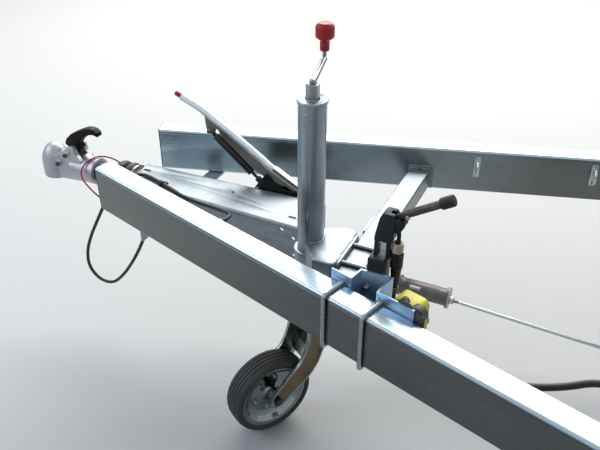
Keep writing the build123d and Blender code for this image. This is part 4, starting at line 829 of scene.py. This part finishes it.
# The hand pump: a dark blue-black painted head with a clevis, a grey-brown lever with a black grip,
# a cream union nut and a black pipe below. The paint is chipped where the lever works.
pump_x, pump_y = 805, -262
pump_paint = worn("pump_paint", "141C25", "2E3338", 0.42, 0.6, per_metre=34.0)
taken_up("pump_body", pump_paint, edge=0.0018)
pump_cylinder_black = worn("pump_pipe_paint", "0E0F11", "2A2A2A", 0.35, 0.5, per_metre=40.0)
turned("pump_cylinder_shown", [
    (-54, 0), (-54, 5), (-26, 5), (-14, 7), (0, 9), (26, 10.8), (29, 11.4), (31, 12.4), (52, 12.5), (54, 12),
    (54, 8), (88, 8), (88, 4), (108, 4), (108, 0),
], spot(pump_x, pump_y, 0), (0, 0, 1), pump_cylinder_black, node="pump_cylinder", edge=0.0004)
cream_paint, cream_from = worn("cream_nut", "A39B8C", "C4B79C", 0.34, 0.46, per_metre=60.0), 0.0668
paint_some(taken_up("pump_collar", cream_paint, edge=0.0008), pump_cylinder_black,
           lambda face: face.center.z < cream_from)
brown_nut = plated_zinc("brown_nut", "6A5D50", 0.3, 0.42)
fixings("pump_pipe_nut", [spot(pump_x, pump_y, -26)], (0, 0, 1), 0.0165, 0.008, brown_nut)
lever_paint = worn("pump_lever_paint", "3E3B35", "6A6354", 0.34, 0.5, per_metre=30.0)
taken_up("pump_lever", lever_paint, edge=0.0008)
fixings("pump_lever_bolt", [spot(821, -269.6, 151.5)], (0, -1, 0), 0.008, 0.004, bright_zinc, "pump_lever")
fixings("pump_axle_nut", [spot(806, -272, 138)], (0, -1, 0), 0.013, 0.005, pump_paint)
grip_rubber = moulded("grip_rubber", "0C0D0F", 0.5, 0.0015, 0.0002, dust=0.008)
arm_start, arm_end = spot(817, pump_y, 153.6), spot(877, pump_y, 190.8)
arm_way = (arm_end - arm_start).normalized()
grip = [(0, 8.1), (0, 10.6), (0.8, 11.4)]
for ring in range(5):
    grip += [(2.4 + ring * 4, 11.5), (3 + ring * 4, 10.9), (4.2 + ring * 4, 10.9), (4.8 + ring * 4, 11.5)]
grip += [(22.8, 11.5), (25, 10.4), (26, 8), (26, 0), (12.1, 0), (12.1, 8.1), (0, 8.1)]
turned("pump_grip_shown", grip, arm_end, arm_way, grip_rubber, "pump_lever", node="pump_grip", steps=48)


# The wheel chock and its holder: bright yellow polyethylene, scuffed, on a grey plastic bracket with
# a round boss, a clamp knob and a stud.
yellow_plastic = moulded("yellow_plastic", "D9D824", 0.42, 0.0015, 0.0002, dust=0.0)
taken_up("wheel_chock", yellow_plastic, edge=0.002)
holder_plastic = moulded("grey_plastic", "45474A", 0.5, 0.0015, 0.0002, dust=0.02)
taken_up("chock_holder", holder_plastic, edge=0.0008)
boss_place = beside_beam(0.914, 0.0239, 0.006)
turned("holder_boss_cap", [(0, 0), (0, 15.5), (0.8, 16.4), (1.6, 15.5), (1.6, 9), (0.9, 8.4), (0.9, 0)],
       boss_place, inward, holder_plastic, steps=48)
fixings("stud_nut", [beside_beam(0.893, 0.0648, -0.044)], inward, 0.013, 0.006, bright_zinc, washer=True,
        stub=0.004)


# Lashing eyes on the beams' inner faces: bent bright bar on foot plates, each held by two rivets. With
# them goes a low black disc on the cross member, painted shade for the dark of its vent hole, where the zinc ran
# out.
eye_zinc = plated_zinc("polished_eye_bar", "CDD5DB", 0.24, 0.36)
for node in ("lashing_eye_near", "lashing_eyes_far"):
    taken_up(node, eye_zinc)
rivet = [(0, 0), (0, 4), (0.8, 3.9), (1.8, 3.0), (2.4, 1.4), (2.5, 0)]
for title, run, flip in (("near", 1.130, 1), ("far_front", 0.863, -1), ("far_rear", 1.159, -1)):
    for level, up in (("top", -0.0185), ("foot", -0.0715)):
        turned(f"eye_rivet_{title}_{level}", rivet, on_side(beside_beam(run, 0.0029, up), flip),
               on_side(inward, flip), bright_zinc, steps=20)
# A black disc, painted shade standing for the dark of the vent hole.
turned("vent_hole_painted_shade", [(0, 0), (0, 5.5), (0.8, 5.4), (1.4, 4.2), (1.5, 0)], spot(689, 297, -58.1),
       (0, 0, 1), black_plastic, steps=24)


# The electric lead: black PVC, from a pale grey gland in the near beam over the housing, where a clip
# and a brown rubber sleeve hold it, down in a loop and up to its plug in a black holder.
def cord_curve(name, route, diameter, material):
    """A round cord on one smooth line through the control points of its route."""
    piece, line = round_line(name, "NURBS", route, diameter / 2, 8)
    line.order_u = 3
    line.use_endpoint_u = True
    piece.data.resolution_u = 12
    piece.data.materials.append(material)
    return piece


def cord_line(piece):
    """The places that a cord's centre line passes, read from a copy of its curve with no bevel."""
    bare, bare_data = piece.copy(), piece.data.copy()
    bare.data = bare_data
    bare_data.bevel_depth = 0
    line = bpy.data.meshes.new_from_object(bare)
    places = [vertex.co.copy() for vertex in line.vertices]
    bpy.data.meshes.remove(line)
    bpy.data.objects.remove(bare)
    bpy.data.curves.remove(bare_data)
    return places


gland_plastic = moulded("grey_gland", "7D8286", 0.42, 0.0015, 0.0001, dust=0.02)
turned("lead_gland_shown", [
    (0, 0), (0, 9), (2.5, 9), (2.8, 8.4), (5.5, 8.4), (6.5, 8), (8.4, 6.4), (9, 5.2), (9, 0),
], beside_beam(0.396, 0, -0.014), inward, gland_plastic, node="lead_gland", steps=32, smooth=25)
plug_plastic = moulded("plug_plastic", "141518", 0.42, 0.0015, 0.0002)
plug_spot, plug_foot = beside_beam(0.072, 0.024, 0), -0.114
plug_skin = [(-114, 0), (-114, 8.2), (-113.2, 9), (-101, 9), (-99, 11), (-97, 16), (-96, 17)]
for ring in range(6):
    plug_skin += [(-94 + ring * 4, 17), (-93.4 + ring * 4, 16), (-92 + ring * 4, 16), (-91.4 + ring * 4, 17)]
plug_skin += [(-66.4, 17), (-66, 16.6), (-66, 0)]
plug = turned("lead_plug_shown", plug_skin, plug_spot, (0, 0, 1), plug_plastic, node="lead_plug", steps=48)
taken_up("plug_holder", plug_plastic, edge=0.0015)
boot_rubber = moulded("brown_sleeve", "2C221A", 0.5, 0.002, 0.0002, dust=0.01)
taken_up("lead_clip", boot_rubber, edge=0.0006)
lead_route = [
    beside_beam(0.396, 0.009, -0.014),
    beside_beam(0.396, 0.041, -0.014),
    *[spot(*place) for place in (
        (352, -146, -32), (320, -122, -48), (284, -103, -60), (248, -87, -70), (214, -76, -75.5),
        (180, -67, -77), (150, -57.2, -77), (36, -12.5, -77), (6, -24, -76), (-26, -54, -78),
        (-48, -72, -112), (-70, -82, -156), (-100, -86, -212), (-134, -88, -274), (-158, -90, -334),
        (-160, -92, -388), (-128, -92, -424), (-80, -92, -424), (-36, -92, -380), (4, -91, -322),
        (38, -90, -262), (64, -92, -208),
    )],
    Vector((plug_spot.x, plug_spot.y, plug_foot - 0.044)),
    Vector((plug_spot.x, plug_spot.y, plug_foot)),
]
lead_skin = moulded("lead_skin", "101113", 0.5, 0.002, 0.0001, dust=0.006)
lead = cord_curve("lead_cord", lead_route, 0.009, lead_skin)
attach(lead, "frame")
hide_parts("lead")
lead_places = cord_line(lead)
on_housing = [place for place in lead_places if front_x + 0.112 < place.x < front_x + 0.160 and place.z > -0.08]
tapered = [0.86] + [1.0] * (len(on_housing) - 2) + [0.86]
lead_sleeve = bar_along("lead_sleeve", on_housing, 0.0056, 6, tapered)
bpy.ops.object.shade_smooth_by_angle(angle=math.radians(40))
fit(lead_sleeve, boot_rubber, "frame")
turned("gland_sleeve", [(-1, 0), (-1, 6.2), (9, 5.2), (12, 4.75), (12, 0), (-1, 0)], lead_route[0],
       inward, lead_skin, steps=32, smooth=40)


# The breakaway cable: thin steel rope in red PVC, from the housing's mouth round the coupling's neck
# and back, a shiny bright red line.
breakaway_route = [spot(*place) for place in (
    (52, -37, -149), (14, -37, -156), (-26, -40, -165), (-62, -41, -171), (-94, -57, -165), (-116, -62, -147),
    (-140, -60, -130), (-163, -54, -112), (-170, -42, -93), (-163, -23, -77), (-152, 3, -71.5),
    (-137, 27, -78), (-119, 45, -93), (-96, 55, -116), (-80, 52, -140), (-57, 39.5, -158), (-14, 38, -163),
    (24, 37, -158), (54, 37, -152),
)]
cable_skin = moulded("red_cable_skin", "B81C26", 0.32, 0.002, 0.0001, dust=0.0)
breakaway = cord_curve("breakaway_cord", breakaway_route, 0.0044, cable_skin)
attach(breakaway, "coupling")
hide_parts("breakaway_cable")


# The hydraulic hose: black rubber with a plated ferrule crimped on each end, from the foot of the pump
# under the near beam to a plated union on the rear member, where the ram's line would begin.
hose_route = [spot(*place) for place in (
    (769, -262, -75), (769, -262, -120), (800, -260, -156), (852, -265, -172), (912, -276, -170),
    (972, -294, -158), (1032, -310, -140), (1092, -316, -120), (1152, -306, -102), (1206, -283, -84.5),
    (1248, -283, -84.5),
)]
hose_rubber = moulded("hose_rubber", "15161A", 0.5, 0.002, 0.0002)
hose = cord_curve("pump_hose_cord", hose_route, 0.014, hose_rubber)
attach(hose, "frame")
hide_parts("pump_hose")
taken_up("hose_union", bright_zinc, edge=0.001)
ferrule = [(0, 0), (0, 8.6), (1, 9.2), (8, 9.2), (8.6, 8.5), (10, 8.5), (10.6, 9.2), (18, 9.2), (19, 8), (19, 0)]
for title, place, way in (("pump", hose_route[0], (0, 0, -1)), ("union", hose_route[-1], (-1, 0, 0))):
    turned(f"hose_ferrule_{title}", ferrule, place, way, bright_zinc, steps=32)
